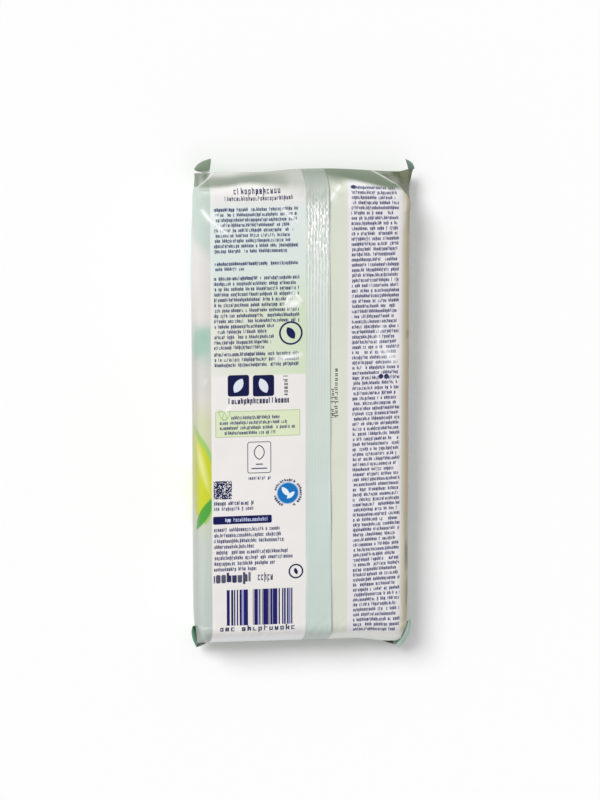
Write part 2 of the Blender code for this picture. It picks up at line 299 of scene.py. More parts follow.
def section_halves():
    """Every row's outline as its upper and its lower half, from left to right.

    Each half is a side wall, a rounded corner, a long face, a rounded corner and
    a side wall. The halves meet in the middle of the two rounded side folds.
    """
    hem = ease(ROW_DEPTH, BASE_WALL_RUN)
    high, low = top_height(ROW_DEPTH), base_height(ROW_DEPTH)
    middle = np.full_like(high, CRIMP_HEIGHT)
    base_round = lerp(BASE_EDGE_ROUND, FOLD_ROUND, hem)
    ridge, edge, base, ridge_round, side_round = {}, {}, {}, {}, {}
    for side in (LEFT, RIGHT):
        fold = corner_fold(side)
        ridge_out, widest = side_lines(side)
        ridge[side] = (side * ridge_out, high)
        edge[side] = (side * widest, middle)
        inwards = np.maximum(HALF_WIDTH - widest, 0.0) + SIDE_BULGE + (BASE_INSET - SIDE_BULGE) * hem
        base[side] = (side * (HALF_WIDTH - inwards), low)
        ridge_round[side] = lerp(TOP_EDGE_ROUND[side], FOLD_ROUND, fold ** RIDGE_SHARPENING[side])
        side_round[side] = lerp(SIDE_ROUND, FOLD_ROUND / 2, fold)
    base_rounds = {LEFT: base_round, RIGHT: base_round}

    half_fold = np.linspace(0.5, 1.0, FOLD_POINTS)[None, :]
    wall = np.linspace(0.0, 1.0, WALL_POINTS)[None, 1:-1]
    corner = np.linspace(0.0, 1.0, CORNER_POINTS)[None, :]
    halves = []
    for far, across, radius, points in ((ridge, base, ridge_round, BACK_POINTS),
                                        (base, ridge, base_rounds, FRONT_POINTS)):
        face = np.linspace(0.0, 1.0, points)[None, 1:-1]
        sides = {}
        for side in (LEFT, RIGHT):
            _, bend, leave = rounded_corner(across[side], edge[side], far[side], side_round[side],
                                            half_fold)
            arrive, turn, go_on = rounded_corner(edge[side], far[side], far[-side], radius[side], corner)
            run = (lerp(leave[0], arrive[0], wall), lerp(leave[1], arrive[1], wall))
            sides[side] = ([bend, run, turn], go_on)
        start, finish = sides[LEFT][1], sides[RIGHT][1]
        flat = (lerp(start[0], finish[0], face), lerp(start[1], finish[1], face))
        mirrored = [(part[0][:, ::-1], part[1][:, ::-1]) for part in reversed(sides[RIGHT][0])]
        halves.append(joined(sides[LEFT][0] + [flat] + mirrored))
    return halves


def swell(x, y, height, size, seed, waves=18):
    """A smooth random surface of about a height: a sum of sine waves in all directions.

    Their lengths are 0.6 to 1.6 times the size.
    """
    pick = np.random.default_rng(seed)
    turns, phases = pick.uniform(0, math.pi, waves), pick.uniform(0, 2 * math.pi, waves)
    lengths = size * pick.uniform(0.6, 1.6, waves)
    total = np.zeros(np.broadcast(x, y).shape)
    for turn, phase, length in zip(turns, phases, lengths):
        total += np.sin((x * math.cos(turn) + y * math.sin(turn)) * 2 * math.pi / length + phase)
    return height * total / math.sqrt(waves)


def crease(x, y, start, finish, height, soft=1.6, sharp=0.5):
    """A pinched fold from start to finish: steep on its left, soft on its right.

    The height falls off exponentially with the distance to the line, and as a
    half ellipse towards both ends.
    """
    run = np.array(finish, float) - start
    length = np.hypot(*run)
    share = ((x - start[0]) * run[0] + (y - start[1]) * run[1]) / length ** 2
    off = ((y - start[1]) * run[0] - (x - start[0]) * run[1]) / length
    fade = np.sqrt(np.clip(4 * share * (1 - share), 0.0, 1.0))
    return height * fade * np.exp(-np.abs(off) / np.where(off > 0, sharp, soft))


# The folds that show on the back: two ends, height, and the width and strength
# of the painted highlight along the fold.
BACK_CREASES = (
    ((-48.0, 96.2), (-42.4, 89.0), 0.40, 1.00, 0.95),
    ((-45.2, 92.0), (-34.6, 83.4), 0.40, 0.75, 1.15),
    ((-43.2, 93.6), (-39.2, 91.6), 0.15, 0.90, 0.90),
    ((-11.6, 96.4), (-2.9, 89.1), 0.36, 0.70, 1.05),
    ((14.6, 102.6), (11.0, 97.8), 0.35, 1.40, 1.05),
    ((17.2, 106.2), (14.4, 102.8), 0.30, 1.00, 0.95),
    ((-10.4, 49.8), (-5.4, 57.4), 0.30, 0.65, 1.00),
    ((-5.8, 57.6), (-0.6, 52.0), 0.30, 0.65, 1.00),
    ((-9.8, 50.6), (-1.4, 52.6), 0.10, 1.70, 1.05),
    ((-0.4, 27.9), (-15.4, 25.8), 0.30, 1.00, 1.10),
    ((37.0, 41.4), (34.4, 35.4), 0.24, 0.75, 1.05),
    ((34.6, 37.0), (34.6, 29.4), 0.24, 0.75, 1.10),
    ((34.4, 31.4), (36.4, 24.4), 0.20, 0.70, 0.95),
    ((36.6, 29.6), (43.6, 22.6), 0.10, 2.60, 0.75),
    ((-38.0, 1.0), (-33.9, 5.1), 0.20, 0.60, 0.85),
    ((-47.4, 14.7), (-45.2, 17.2), 0.20, 0.50, 0.40),
    ((21.6, 104.0), (20.8, 94.0), 0.15, 1.10, 0.70),
    ((47.6, 101.0), (46.4, 84.0), 0.30, 0.90, 0.45),
    ((47.0, -48.0), (48.6, -84.0), 0.45, 0.60, 0.20),
    ((44.6, -84.0), (47.6, -101.0), 0.35, 0.60, 0.25),
    ((-46.8, -70.0), (-48.5, -99.0), 0.20, 0.60, 0.10),
)


# The film's swells by height, size and seed, and the finer ones near the ends, which
# begin with their stretch along the pack. The ends' swells start at a place and grow
# over a run.
SWELLS = ((0.15, 46.0, 3), (0.03, 13.0, 5))
END_SWELLS = ((0.3, 0.10, 9.0, 8), (1.0, 0.06, 5.0, 9))
END_SWELLS_FROM, END_SWELLS_RUN = 86.0, 26.0
# How a fold's painted highlight is sharpened and strengthened.
GLINT_POWER, GLINT_GAIN = 1.5, 1.25


def film_relief(x, y):
    """How far the film stands off its plain shape: broad swells, fine ones and folds."""
    relief = sum(swell(x, y, *waves) for waves in SWELLS)
    near_end = smooth((np.abs(y) - END_SWELLS_FROM) / END_SWELLS_RUN)
    for stretch, *waves in END_SWELLS:
        relief = relief + near_end * swell(x, y * stretch, *waves)
    for start, finish, height, _, _ in BACK_CREASES:
        relief = relief + crease(x, y, start, finish, height)
    return relief


def film_glint(x, y):
    """The painted highlight along the film's sharpest folds: the strongest crease, to a power."""
    glint = np.zeros(np.broadcast(x, y).shape)
    for start, finish, _, width, strength in BACK_CREASES:
        glint = np.maximum(glint, crease(x, y, start, finish, strength, width, width) ** GLINT_POWER)
    return np.clip(glint * GLINT_GAIN, 0.0, 1.0)


def surface_normals(points):
    """Unit normals of a grid of points whose rows run to -Y and columns to +X."""
    down = np.gradient(points, axis=0)
    across = np.gradient(points, axis=1)
    normal = np.cross(down, across)
    return normal / np.maximum(np.linalg.norm(normal, axis=2, keepdims=True), 1e-9)


def stand_off(points, amount):
    """The points moved along the normals, less and less over the last few rows to each border."""
    fading_rows = 6.0
    rows, columns = (np.clip(np.minimum(np.arange(count), np.arange(count)[::-1]) / fading_rows, 0, 1)
                     for count in points.shape[:2])
    return points + surface_normals(points) * (amount * np.outer(rows, columns))[:, :, None]


def quad_corners(rows, columns):
    """The four corner numbers of every cell of a grid, turning so that +Z is out."""
    number = np.arange(rows * columns).reshape(rows, columns)
    cells = (number[:-1, :-1], number[1:, :-1], number[1:, 1:], number[:-1, 1:])
    return np.stack(cells, axis=-1).reshape(-1, 4)


def zipped(upper, lower, upper_x, lower_x):
    """Triangles between two rows of corner numbers that share their two ends."""
    triangles = []
    i = j = 0
    while i < len(upper) - 1 or j < len(lower) - 1:
        last = j == len(lower) - 1
        if last or (i < len(upper) - 1 and upper_x[i + 1] <= lower_x[j + 1]):
            corners = (upper[i], upper[i + 1], lower[j])
            i += 1
        else:
            corners = (upper[i], lower[j + 1], lower[j])
            j += 1
        if len(set(corners)) == 3:
            triangles.append([int(corner) for corner in corners])
    return triangles


def closed_halves(name, upper, lower, materials, maps=None, marks=None, paint=None):
    """A closed skin of two grids that share their first and last columns.

    The first and last rows are bridged between the grids. The maps give each
    grid's own places on the printed sheet, from 0 to 1. Marks are named shares
    on the upper grid, and paint is one linear colour for each of its points.
    """
    rows, columns = upper.shape[:2]
    under = lower.shape[1]
    upper_number = np.arange(rows * columns).reshape(rows, columns)
    inner = rows * columns + np.arange(rows * (under - 2)).reshape(rows, under - 2)
    lower_number = np.concatenate([upper_number[:, :1], inner, upper_number[:, -1:]], axis=1)
    points = np.concatenate([upper.reshape(-1, 3), lower[:, 1:-1].reshape(-1, 3)])
    upper_cells, lower_cells = quad_corners(rows, columns), quad_corners(rows, under)[:, ::-1]
    upper_faces, lower_faces = upper_number.ravel()[upper_cells], lower_number.ravel()[lower_cells]
    caps = []
    for row, turn in ((0, 1), (rows - 1, -1)):
        strip = zipped(upper_number[row], lower_number[row], upper[row, :, 0], lower[row, :, 0])
        caps += [triangle[::turn] for triangle in strip]
    mesh = bpy.data.meshes.new(name)
    mesh.from_pydata((points * MM).tolist(), [], upper_faces.tolist() + lower_faces.tolist() + caps)
    for material in materials:
        mesh.materials.append(material)
    if maps is not None:
        layer = mesh.uv_layers.new(name="OFBake")
        places = np.concatenate([maps[0].reshape(-1, 2)[upper_cells.ravel()],
                                 maps[1].reshape(-1, 2)[lower_cells.ravel()]])
        loops = np.zeros((len(mesh.loops), 2), np.float32)
        loops[:len(places)] = places
        layer.data.foreach_set("uv", loops.ravel())
    if len(materials) > 1:
        index = np.zeros(len(mesh.polygons), np.int32)
        index[len(upper_faces):len(upper_faces) + len(lower_faces)] = 1
        mesh.polygons.foreach_set("material_index", index)
    for mark, shares in (marks or {}).items():
        values = np.zeros(len(points), np.float32)
        values[:rows * columns] = np.broadcast_to(shares, (rows, columns)).ravel()
        mesh.attributes.new(mark, "FLOAT", "POINT").data.foreach_set("value", values)
    if paint is not None:
        values = np.concatenate([paint.reshape(-1, 4), paint[:, 1:-1].reshape(-1, 4)]).astype(np.float32)
        mesh.attributes.new("paint", "FLOAT_COLOR", "POINT").data.foreach_set("color", values.ravel())
    mesh.shade_smooth()
    mesh.update()
    piece = bpy.data.objects.new(name, mesh)
    bpy.context.scene.collection.objects.link(piece)
    return piece


def sheet_map(points, centre):
    """Places on the printed sheet: across from the centre of its half, and along the film."""
    steps = np.linalg.norm(np.diff(points[:, :, [0, 2]], axis=1), axis=2)
    across = np.concatenate([np.zeros((len(points), 1)), np.cumsum(steps, axis=1)], axis=1)
    middle = np.array([np.interp(0.0, row[:, 0], length) for row, length in zip(points, across)])
    across = across - middle[:, None]
    place = np.broadcast_to(ROW_PLACE, across.shape)
    return np.stack([(across + SHEET * centre) / SHEET, place / SHEET + 0.5], axis=2)


def front_relief(x, y):
    """The front is pressed flat on the floor, and hollow where the label lies in it.

    The hollow eases out with the distance from the label's outline.
    """
    tab = np.where(y > 0, LABEL_TAB, 0.0)
    beside = np.maximum(np.abs(x) - LABEL_HALF_WIDTH - LABEL_MARGIN, 0.0)
    beyond = np.maximum(np.abs(y) - LABEL_HALF_LENGTH - LABEL_MARGIN - tab, 0.0)
    return LABEL_HOLLOW * smooth(1.0 - np.hypot(beside, beyond) / HOLLOW_RIM)


# The end wall's painted shade at places across the pack: its strength on the crimp line
# and at its darkest, and how far down the film it is darkest, ends, and over how much.
WALL_SHADE = (
    (-51.0, 0.25, 0.76, 8.0, 12.4, 1.5),
    (-38.0, 0.22, 0.82, 7.6, 11.6, 1.6),
    (-33.0, 0.22, 0.84, 7.0, 10.9, 1.8),
    (-28.6, 0.38, 0.85, 6.0, 9.9, 2.0),
    (-24.0, 0.50, 0.85, 5.2, 9.8, 2.0),
    (-19.4, 0.54, 0.84, 4.2, 10.6, 2.4),
    (-14.7, 0.58, 0.76, 4.2, 11.6, 2.6),
    (-10.0, 0.56, 0.72, 6.6, 13.0, 3.6),
    (-5.5, 0.56, 0.56, 6.0, 14.0, 4.5),
    (0.0, 0.54, 0.48, 8.0, 15.0, 5.0),
    (12.0, 0.95, 0.97, 1.0, 9.6, 6.2),
    (15.4, 0.95, 0.98, 1.0, 11.0, 6.2),
    (20.0, 0.95, 1.00, 3.0, 9.2, 2.8),
    (24.7, 0.95, 1.00, 4.5, 9.7, 1.6),
    (29.3, 0.95, 1.00, 6.0, 11.0, 1.6),
    (34.0, 0.95, 1.00, 7.0, 12.5, 1.6),
    (40.0, 0.95, 1.00, 8.0, 13.9, 1.6),
)


def head_wall(x):
    """The shade of the head's end wall above its crease.

    At each place across the pack this painted shade rises from the crimp line to its
    darkest line and ends softly at the crease.
    """
    from_line = ROW_PLACE[0] - ROW_PLACE
    place, *columns = zip(*WALL_SHADE)
    first, darkest, dark_at, crease_at, soft = (np.interp(x, place, column) for column in columns)
    shade = lerp(first, darkest, smooth(from_line / dark_at))
    return shade * (1.0 - smooth(0.5 + (from_line - crease_at) / (2 * soft)))


# The crumples of a gusset and the mottle of its painted shade: how much they are
# stretched across, then their height, size and seed.
GUSSET_CRUMPLE = (0.7, 0.15, 4.0, 31)
GUSSET_MOTTLE = (0.5, 0.12, 3.0, 33)
# How strongly painted shade darkens each gusset and how strong the painted highlight
# on each ridge is, at head and tail, and at what share of the corner fold the highlight
# ends. The drop is one where the line turns down the side wall.
GUSSET_SHADE = {LEFT: (0.76, 0.05), RIGHT: (1.0, 0.08)}
RIDGE_GLINT = {LEFT: (0.40, 0.00), RIGHT: (0.36, 0.00)}
RIDGE_GLINT_END = {LEFT: 0.0, RIGHT: 0.70}
RIDGE_DROP = {LEFT: 1.0, RIGHT: 0.0}
# How far down the side wall the line runs where the fold ends.
RIDGE_SINK = 8.0
# Over what share of the fold the painted shade and the painted highlight start, over how
# many millimetres the shade begins beyond the ridge, and the highlight's middle and width.
GUSSET_START, GLINT_START = 0.2, 0.1
GUSSET_EDGE = 0.9
RIDGE_LINE = (-0.2, 0.8)
# How fast the end wall's painted shade gives way to a gusset's.
WALL_YIELD = 3.0


def corner_shades(x, z):
    """The gussets' painted shade beyond the ridges, and the painted highlight along the ridges.

    Both follow the distance beyond the ridge. On the left it also counts the way
    down the side wall, where the line sinks as the fold fades.
    """
    gusset, line = np.zeros_like(x), np.zeros_like(x)
    for side in (LEFT, RIGHT):
        fold = corner_fold(side)
        down = RIDGE_DROP[side] * (top_height(ROW_DEPTH) - z - RIDGE_SINK * (1.0 - fold) ** 2)
        beyond = side * x - side_lines(side)[0] + down
        shade = smooth(fold / GUSSET_START) * at_ends(*GUSSET_SHADE[side])
        gusset += shade * smooth(0.5 + beyond / GUSSET_EDGE)
        reach = smooth((fold - RIDGE_GLINT_END[side]) / GLINT_START) * at_ends(*RIDGE_GLINT[side])
        line += reach * bump(beyond, *RIDGE_LINE)
    return gusset, line


# The painted shade of the creases along the right edge: where each starts and ends along
# the pack, how dark it is, and how far out it begins.
EDGE_FOLD_SHADES = ((-14.0, -66.0, 0.85, 49.8), (-62.0, -78.0, 0.70, 47.2), (-80.0, -96.0, 0.65, 48.2),
              (38.0, 33.0, 0.40, 47.6), (97.0, 82.0, 0.25, 48.0))
# The height at which the shaded creases start on the side wall and over how much they
# grow, over how much they grow outwards, and the power that keeps them dark to their ends.
FOLD_SHADE_FOOT, FOLD_SHADE_GROWTH = 14.8, 1.8
FOLD_SHADE_EDGE = 1.2
FOLD_SHADE_POWER = 0.7


def right_edge_shade(x, y, z):
    """Painted shade along the right edge, where creases show as short dark folds.

    Each is a parabola along its length, to a power. It starts softly at a height
    and at a distance out.
    """
    fold_shades = np.zeros_like(x)
    for start, finish, strength, begin in EDGE_FOLD_SHADES:
        share = (y - start) / (finish - start)
        band = smooth((x - begin) / FOLD_SHADE_EDGE) * smooth((z - FOLD_SHADE_FOOT) / FOLD_SHADE_GROWTH)
        arch = np.clip(4 * share * (1 - share), 0.0, 1.0) ** FOLD_SHADE_POWER
        fold_shades = np.maximum(fold_shades, strength * band * arch)
    return fold_shades


def crowned(x, z):
    """Points over x and the plain heights, with the back's crown.

    The crown is a parabola across the pack. It fades down the side walls and
    towards the crimp lines.
    """
    inside = (1.0 - ease(ROW_DEPTH, END_WALL_RUN)) * smooth((z - CRIMP_HEIGHT) / CROWN_RISE)
    crown = TOP_CROWN * inside * (1.0 - (x / HALF_WIDTH) ** 2)
    return np.stack([x, along(ROW_END, ROW_DEPTH, x), z + crown], axis=2)


def on_back(z):
    """How much the back's relief counts at a height: nothing low on the walls, all on top."""
    return smooth((z - RELIEF_FOOT) / RELIEF_RISE)


def film_body(back_film, front_film):
    """The filled film pack: a loft through the section halves, with its relief."""
    (upper_x, upper_z), (lower_x, lower_z) = section_halves()
    upper = crowned(upper_x, upper_z)
    upper_map = sheet_map(upper, BACK_CENTRE)
    y = upper[:, :, 1]
    gusset, ridge = corner_shades(upper_x, upper_z)
    crumple, mottle = (swell(upper_x * stretch, y + upper_z, *waves)
                       for stretch, *waves in (GUSSET_CRUMPLE, GUSSET_MOTTLE))
    upper = stand_off(upper, film_relief(upper_x, y) * on_back(upper_z) + gusset * crumple)
    lower = np.stack([lower_x, along(ROW_END, ROW_DEPTH, lower_x), lower_z], axis=2)
    lower_map = sheet_map(lower, FRONT_CENTRE)
    lower[:, :, 2] += front_relief(lower_x, lower[:, :, 1])
    # The marks are painted shade on the head's end wall, the right edge and the gussets, and painted
    # highlights along the sharpest folds and the ridges.
    marks = {
        "wall": np.where(y > 0, head_wall(upper_x), 0.0) * (1.0 - smooth(gusset * WALL_YIELD)),
        "edge": right_edge_shade(upper_x, y, upper_z),
        "gusset": gusset * (1.0 - GUSSET_MOTTLE[1] + mottle),
        "glint": np.maximum(film_glint(upper_x, y) * on_back(upper_z), ridge),
    }
    films, maps = (back_film, front_film), (upper_map, lower_map)
    return closed_halves("film_body", upper, lower, films, maps, marks)


def back_strip(left, right, share):
    """Points of the back between two lines along the pack, at shares from one to the other."""
    x = lerp(left, right, share) * np.ones_like(ROW_DEPTH)
    z = np.broadcast_to(top_height(ROW_DEPTH), x.shape)
    points = crowned(x, z)
    return stand_off(points, film_relief(x, points[:, :, 1]) * on_back(z))


def lap_seal(material):
    """The sealed lap: a strip that leaves the film at its root and lifts at its free edge.

    It lifts as a square of the way across. Cosine ribs run along it, deepest and with the
    brightest painted highlights below the head, and nearly gone past the middle.
    """
    edge = SEAL_EDGE - SEAL_DRIFT * along(ROW_END, ROW_DEPTH, SEAL_ROOT)
    share = np.linspace(0.0, 1.0, SEAL_POINTS)[None, :]
    points = back_strip(SEAL_ROOT, edge, share)
    x, y = points[:, :, 0], points[:, :, 1]
    strength = bump(y, RIBS_AT, np.where(y > RIBS_AT, *RIBS_FADE))
    waver = swell(0.0, y, *SEAL_WAVER) + strength * swell(x, y, *RIB_WAVER)
    ribs = np.cos(2 * math.pi * (x - SEAL_ROOT) / RIB_PITCH + waver)
    height = RIB_HEIGHT * (RIB_LEAST + strength) * (1.0 + swell(x, y * RIB_STRETCH, *RIB_MOTTLE))
    bow = smooth(ROW_DEPTH / SEAL_LIFT_RUN) * (1.0 + swell(0.0, y, *SEAL_BOW))
    lift = SEAL_BASE + SEAL_LIFT * share ** 2 * bow
    normal = surface_normals(points)
    border = smooth(np.minimum(share, 1 - share) * SEAL_BORDER)
    upper = points + normal * (lift + height * ribs * border)[:, :, None]
    lower = points + normal * np.maximum(lift - SEAL_SHEET, SEAL_CLEARANCE)[:, :, None]
    lower[:, 0], lower[:, -1] = upper[:, 0], upper[:, -1]
    place = np.stack(np.broadcast_arrays(x / SHEET + BACK_CENTRE, ROW_PLACE / SHEET + 0.5), axis=2)
    maps = (place, place + [FRONT_CENTRE - BACK_CENTRE, 0.0])
    crest = smooth(ribs * CREST_SLOPE + CREST_START)
    shine = bump(y, SPARKLE_AT, np.where(y > SPARKLE_AT, *SPARKLE_FADE))
    # Painted highlights on the rib crests, and where the painted sparkle shows.
    marks = {
        "glint": np.clip(RIB_GLINT * strength * crest, 0.0, 1.0) * border,
        "sparkle": shine * border,
    }
    return closed_halves("lap_seal", upper, lower, (material,), maps, marks)


def fin_path(count):
    """The tucked fin from the side, as depth and height at shares of its width.

    It leaves the crimp line outwards, turns down within the bend and then curls
    back under the pack.
    """
    travelled = np.linspace(-FIN_ROOT_DEPTH, FIN_WIDTH, count)
    turn = np.clip(travelled / FIN_BEND, 0.0, 1.0)
    heading = -math.pi / 2 * turn - FIN_CURL * np.maximum(travelled, 0.0) / FIN_WIDTH
    stride = travelled[1] - travelled[0]
    depth = FIN_ROOT_DEPTH + FIN_TUCK - np.cumsum(np.cos(heading)) * stride
    height = CRIMP_HEIGHT + np.cumsum(np.sin(heading)) * stride
    return travelled, depth, height


def crimped_sheet(name, points, sheet, ribs, paint, order, material):
    """A closed sheet about a grid of points, half as thick each way and ribbed throughout.

    It has no thickness at its two ends across. The order -1 turns its rows over,
    so that its upper face points up.
    """
    points, ribs, paint = points[::order], ribs[::order], paint[::order]
    normal = surface_normals(points)
    thick = sheet / 2 * np.ones(points.shape[:2])
    thick[:, 0] = thick[:, -1] = 0.0
    upper = points + normal * (thick + ribs)[:, :, None]
    lower = points - normal * (thick - ribs)[:, :, None]
    return closed_halves(name, upper, lower, (material,), paint=paint)


def tucked_fin(name, end, material):
    """An end's crimped fin: its path carried across, with ribs and a toothed cut edge."""
    fine, fine_depth, fine_height = fin_path(FIN_STEPS)
    left = -(HALF_WIDTH + SPREADS[end, LEFT][0] - FIN_MARGIN)
    right = HALF_WIDTH + SPREADS[end, RIGHT][0] - FIN_MARGIN
    x = np.linspace(left, right, FIN_COLUMNS)[None, :]
    tooth = TOOTH_DEPTH * np.abs(2 * ((x / TOOTH_PITCH) % 1.0) - 1.0)
    share = np.linspace(0.0, 1.0, FIN_ROWS)[:, None]
    reach = lerp(-FIN_ROOT_DEPTH, FIN_WIDTH - tooth, share)
    depth = np.interp(reach, fine, fine_depth)
    height = np.interp(reach, fine, fine_height)
    sway = swell(x, 0.0, *FIN_SWAY[end]) * np.clip(reach / FIN_WIDTH, 0, 1) ** 2
    y = end * (HALF_LENGTH - depth + crimp_line_shift(end, x) + sway)
    points = np.stack(np.broadcast_arrays(x, y, height), axis=2)
    grown = np.clip(share / RIBS_START - 1, 0, 1)
    ribs = CRIMP_RELIEF * np.cos(2 * math.pi * x / CRIMP_PITCH) * grown
    # Painted shade: the fin darkens from its root and is fully dark a third of the way across, where it
    # turns down and under the pack.
    shade = np.broadcast_to(smooth(share / DARK_BY), y.shape)
    paint = mixed("#c9d6c8", "#7f9478", shade[:, :, None])
    return crimped_sheet(name, points, FIN_SHEET, ribs, paint, -end, material)


# Each ear's root line, with its sagging middle, and its free edge, as points.
EARS = {
    "ear_head_left": (((-49.3, 113.0, 9.6), (-45.2, 110.9, 8.8), (-42.2, 112.0, 9.2)),
                      ((-49.3, 113.4, 10.0), (-48.1, 117.0, 11.2), (-42.0, 118.3, 12.5))),
    "ear_head_right": (((53.9, 111.5, 9.0), (52.6, 110.6, 8.8), (51.3, 110.9, 9.0)),
                       ((53.9, 111.7, 9.2), (53.3, 114.9, 11.0), (48.9, 116.5, 12.4))),
    "ear_tail_left": (((-48.4, -110.8, 8.0), (-49.7, -107.0, 8.2), (-50.3, -102.4, 9.4)),
                      ((-49.2, -113.5, 7.6), (-53.0, -106.6, 8.8), (-51.6, -101.7, 12.0))),
    "ear_tail_right": (((45.4, -113.8, 8.6), (46.6, -111.4, 15.5), (50.3, -104.6, 13.5)),
                       ((48.6, -118.4, 7.6), (54.2, -113.0, 8.6), (53.3, -103.4, 12.0))),
    # Two small folds at the tail, coloured dark as painted shade.
    "fold_tail_left": (((-49.4, -111.2, 7.4), (-47.8, -111.7, 7.2), (-45.2, -111.3, 7.4)),
                       ((-49.2, -113.4, 7.2), (-46.8, -112.9, 6.8), (-44.9, -111.7, 7.2))),
    "fold_tail_right": (((37.6, -112.6, 7.2), (42.0, -113.0, 7.0), (48.0, -114.6, 7.2)),
                        ((37.4, -113.0, 7.2), (44.0, -116.4, 6.6), (48.0, -117.0, 7.2))),
}


def ear_paint(name, share, reach):
    """An ear's colours by the share along its root and the reach to its free edge."""
    rim = bump(reach, 1.0, 0.12)
    layers = {
        # Painted highlight: the pale line along the root.
        "ear_head_left": ("#93a58f", ("#8a9b86", reach), ("#d6dfd0", bump(reach, 0.08, 0.06))),
        "ear_head_right": ("#7d938a", ("#9db0a2", rim * 0.7)),
        # Green print, with the pale middle left between it as a painted highlight.
        "ear_tail_left": ("#d6e6dc", ("#3c8a4c", bump(reach, 0.05, 0.22)),
                          ("#2f8a30", smooth((share - 0.60) / 0.2)),
                          ("#3f9a72", np.maximum(rim, bump(share, 0.0, 0.12)) * 0.85)),
        # Painted shade in the dark fold line, and painted highlights on the pale band and the rim.
        "ear_tail_right": ("#b4d6c6", ("#2f5240", bump(reach, 0.34, 0.16)),
                           ("#e6f2ea", 0.8 * bump(reach, 0.66, 0.10)), ("#d9e2dc", rim * 0.7)),
        # The two tail folds: dark with painted shade, paler towards one end.
        "fold_tail_left": ("#4a4f48", ("#8f9a93", share)),
        "fold_tail_right": ("#4b5046", ("#b4bab2", smooth((share - 0.72) / 0.12))),
    }
    paint, *over = layers[name]
    for hue, amount in over:
        paint = mixed(paint, hue, amount)
    return paint


def ear(name, material):
    """A leaf of crimped film between a root curve and a free edge.

    It bellies as a parabola between them, up at the head and down at the tail.
    """
    share, reach = np.meshgrid(np.linspace(0.0, 1.0, EAR_COLUMNS), np.linspace(0.0, 1.0, EAR_ROWS))
    share, reach = share[:, :, None], reach[:, :, None]
    root, edge = (quadratic(*np.array(points), share) for points in EARS[name])
    points = lerp(root, edge, reach)
    belly = EAR_BELLY if root[0, 0, 1] > 0 else -EAR_BELLY
    points[:, :, 2] += (belly * 4 * reach * (1 - reach))[:, :, 0]
    order = -1 if surface_normals(points)[:, :, 2].mean() < 0 else 1
    ribs = EAR_RELIEF * np.cos(2 * math.pi * points[:, :, 0] / CRIMP_PITCH)
    return crimped_sheet(name, points, EAR_SHEET, ribs, ear_paint(name, share, reach), order, material)


def linear(colour):
    """An sRGB hex colour as linear RGBA."""
    values = [int(colour[i:i + 2], 16) / 255 for i in (1, 3, 5)]
    return tuple(v / 12.92 if v <= 0.04045 else ((v + 0.055) / 1.055) ** 2.4 for v in values) + (1.0,)


def mixed(under, over, share):
    """Two hex colours, or a grid of colours and a hex colour, mixed by a grid of shares."""
    under, over = (np.array(linear(c)) if isinstance(c, str) else c for c in (under, over))
    return under + (over - under) * np.clip(share, 0.0, 1.0)


def feed(tree, node, values):
    """Sets a node's inputs, or links them. A node as a value gives its first live output."""
    for key, value in values.items():
        if isinstance(value, bpy.types.Node):
            value = next(socket for socket in value.outputs if socket.enabled)
        if isinstance(value, bpy.types.NodeSocket):
            tree.links.new(value, node.inputs[key])
        else:
            node.inputs[key].default_value = value


def add(tree, kind, *values, named=None, stops=(), **settings):
    """Adds a node with its settings, feeds its inputs in order or by name, and gives it.

    A kind in capitals is an operation of the Math node. Stops are a colour ramp's
    places and hues, in rising order.
    """
    if kind.isupper():
        kind, settings["operation"] = "Math", kind
    node = tree.nodes.new("ShaderNode" + kind)
    for name, setting in settings.items():
        setattr(node, name, setting)
    for number, (position, hue) in enumerate(stops):
        row = node.color_ramp.elements
        stop = row[number] if number < len(row) else row.new(position)
        stop.position, stop.color = position, linear(hue)
    feed(tree, node, named or dict(enumerate(values)))
    return node


def combined(tree, operation, total, *others):
    """Numbers taken together by one operation, such as shares multiplied."""
    for other in others:
        total = add(tree, operation, total, other)
    return total


def laid_over(tree, colour, *layers):
    """A colour with layers laid over it in turn, each a share from 0 to 1 and a hue."""
    for share, hue in layers:
        colour = add(tree, "Mix", named={0: share, 6: colour, 7: linear(hue)}, data_type="RGBA")
    return colour


# A ramp's two axes on the printed sheet.
ACROSS, ALONG = 0, 1


def washed(tree, place, colour, *washes):
    """Washes of colour laid over another in turn, each a strength, a hue and its ramps.

    A ramp names an axis and the two places between which it rises smoothly from 0
    to 1, in either direction. A wash is as strong as its ramps' product.
    """
    spots = add(tree, "SeparateXYZ", place).outputs
    for strength, hue, *ramps in washes:
        for axis, start, finish in ramps:
            ramp = add(tree, "MapRange", spots[axis], start, finish, 0.0, 1.0,
                       interpolation_type="SMOOTHSTEP")
            strength = add(tree, "MULTIPLY", strength, ramp)
        colour = laid_over(tree, colour, (strength, hue))
    return colour


def box(size, corner):
    """A rounded box, as a turn, a shift and a radius. A disc is a box that is all corner."""
    return 0.0, (corner - size[0] / 2, corner - size[1] / 2, 0.0), corner


def leaf(size, turn):
    """A turned leaf of two equal arcs that meet in points, as a turn, a shift and a radius.

    The arcs' radius is (length squared plus width squared) over four widths.
    """
    width, length = size
    radius = (length ** 2 + width ** 2) / (4 * width)
    return math.radians(turn), (radius - width / 2, 0.0, 0.0), radius


# How far a printed edge blurs to each side.
SOFT_EDGE = 0.09


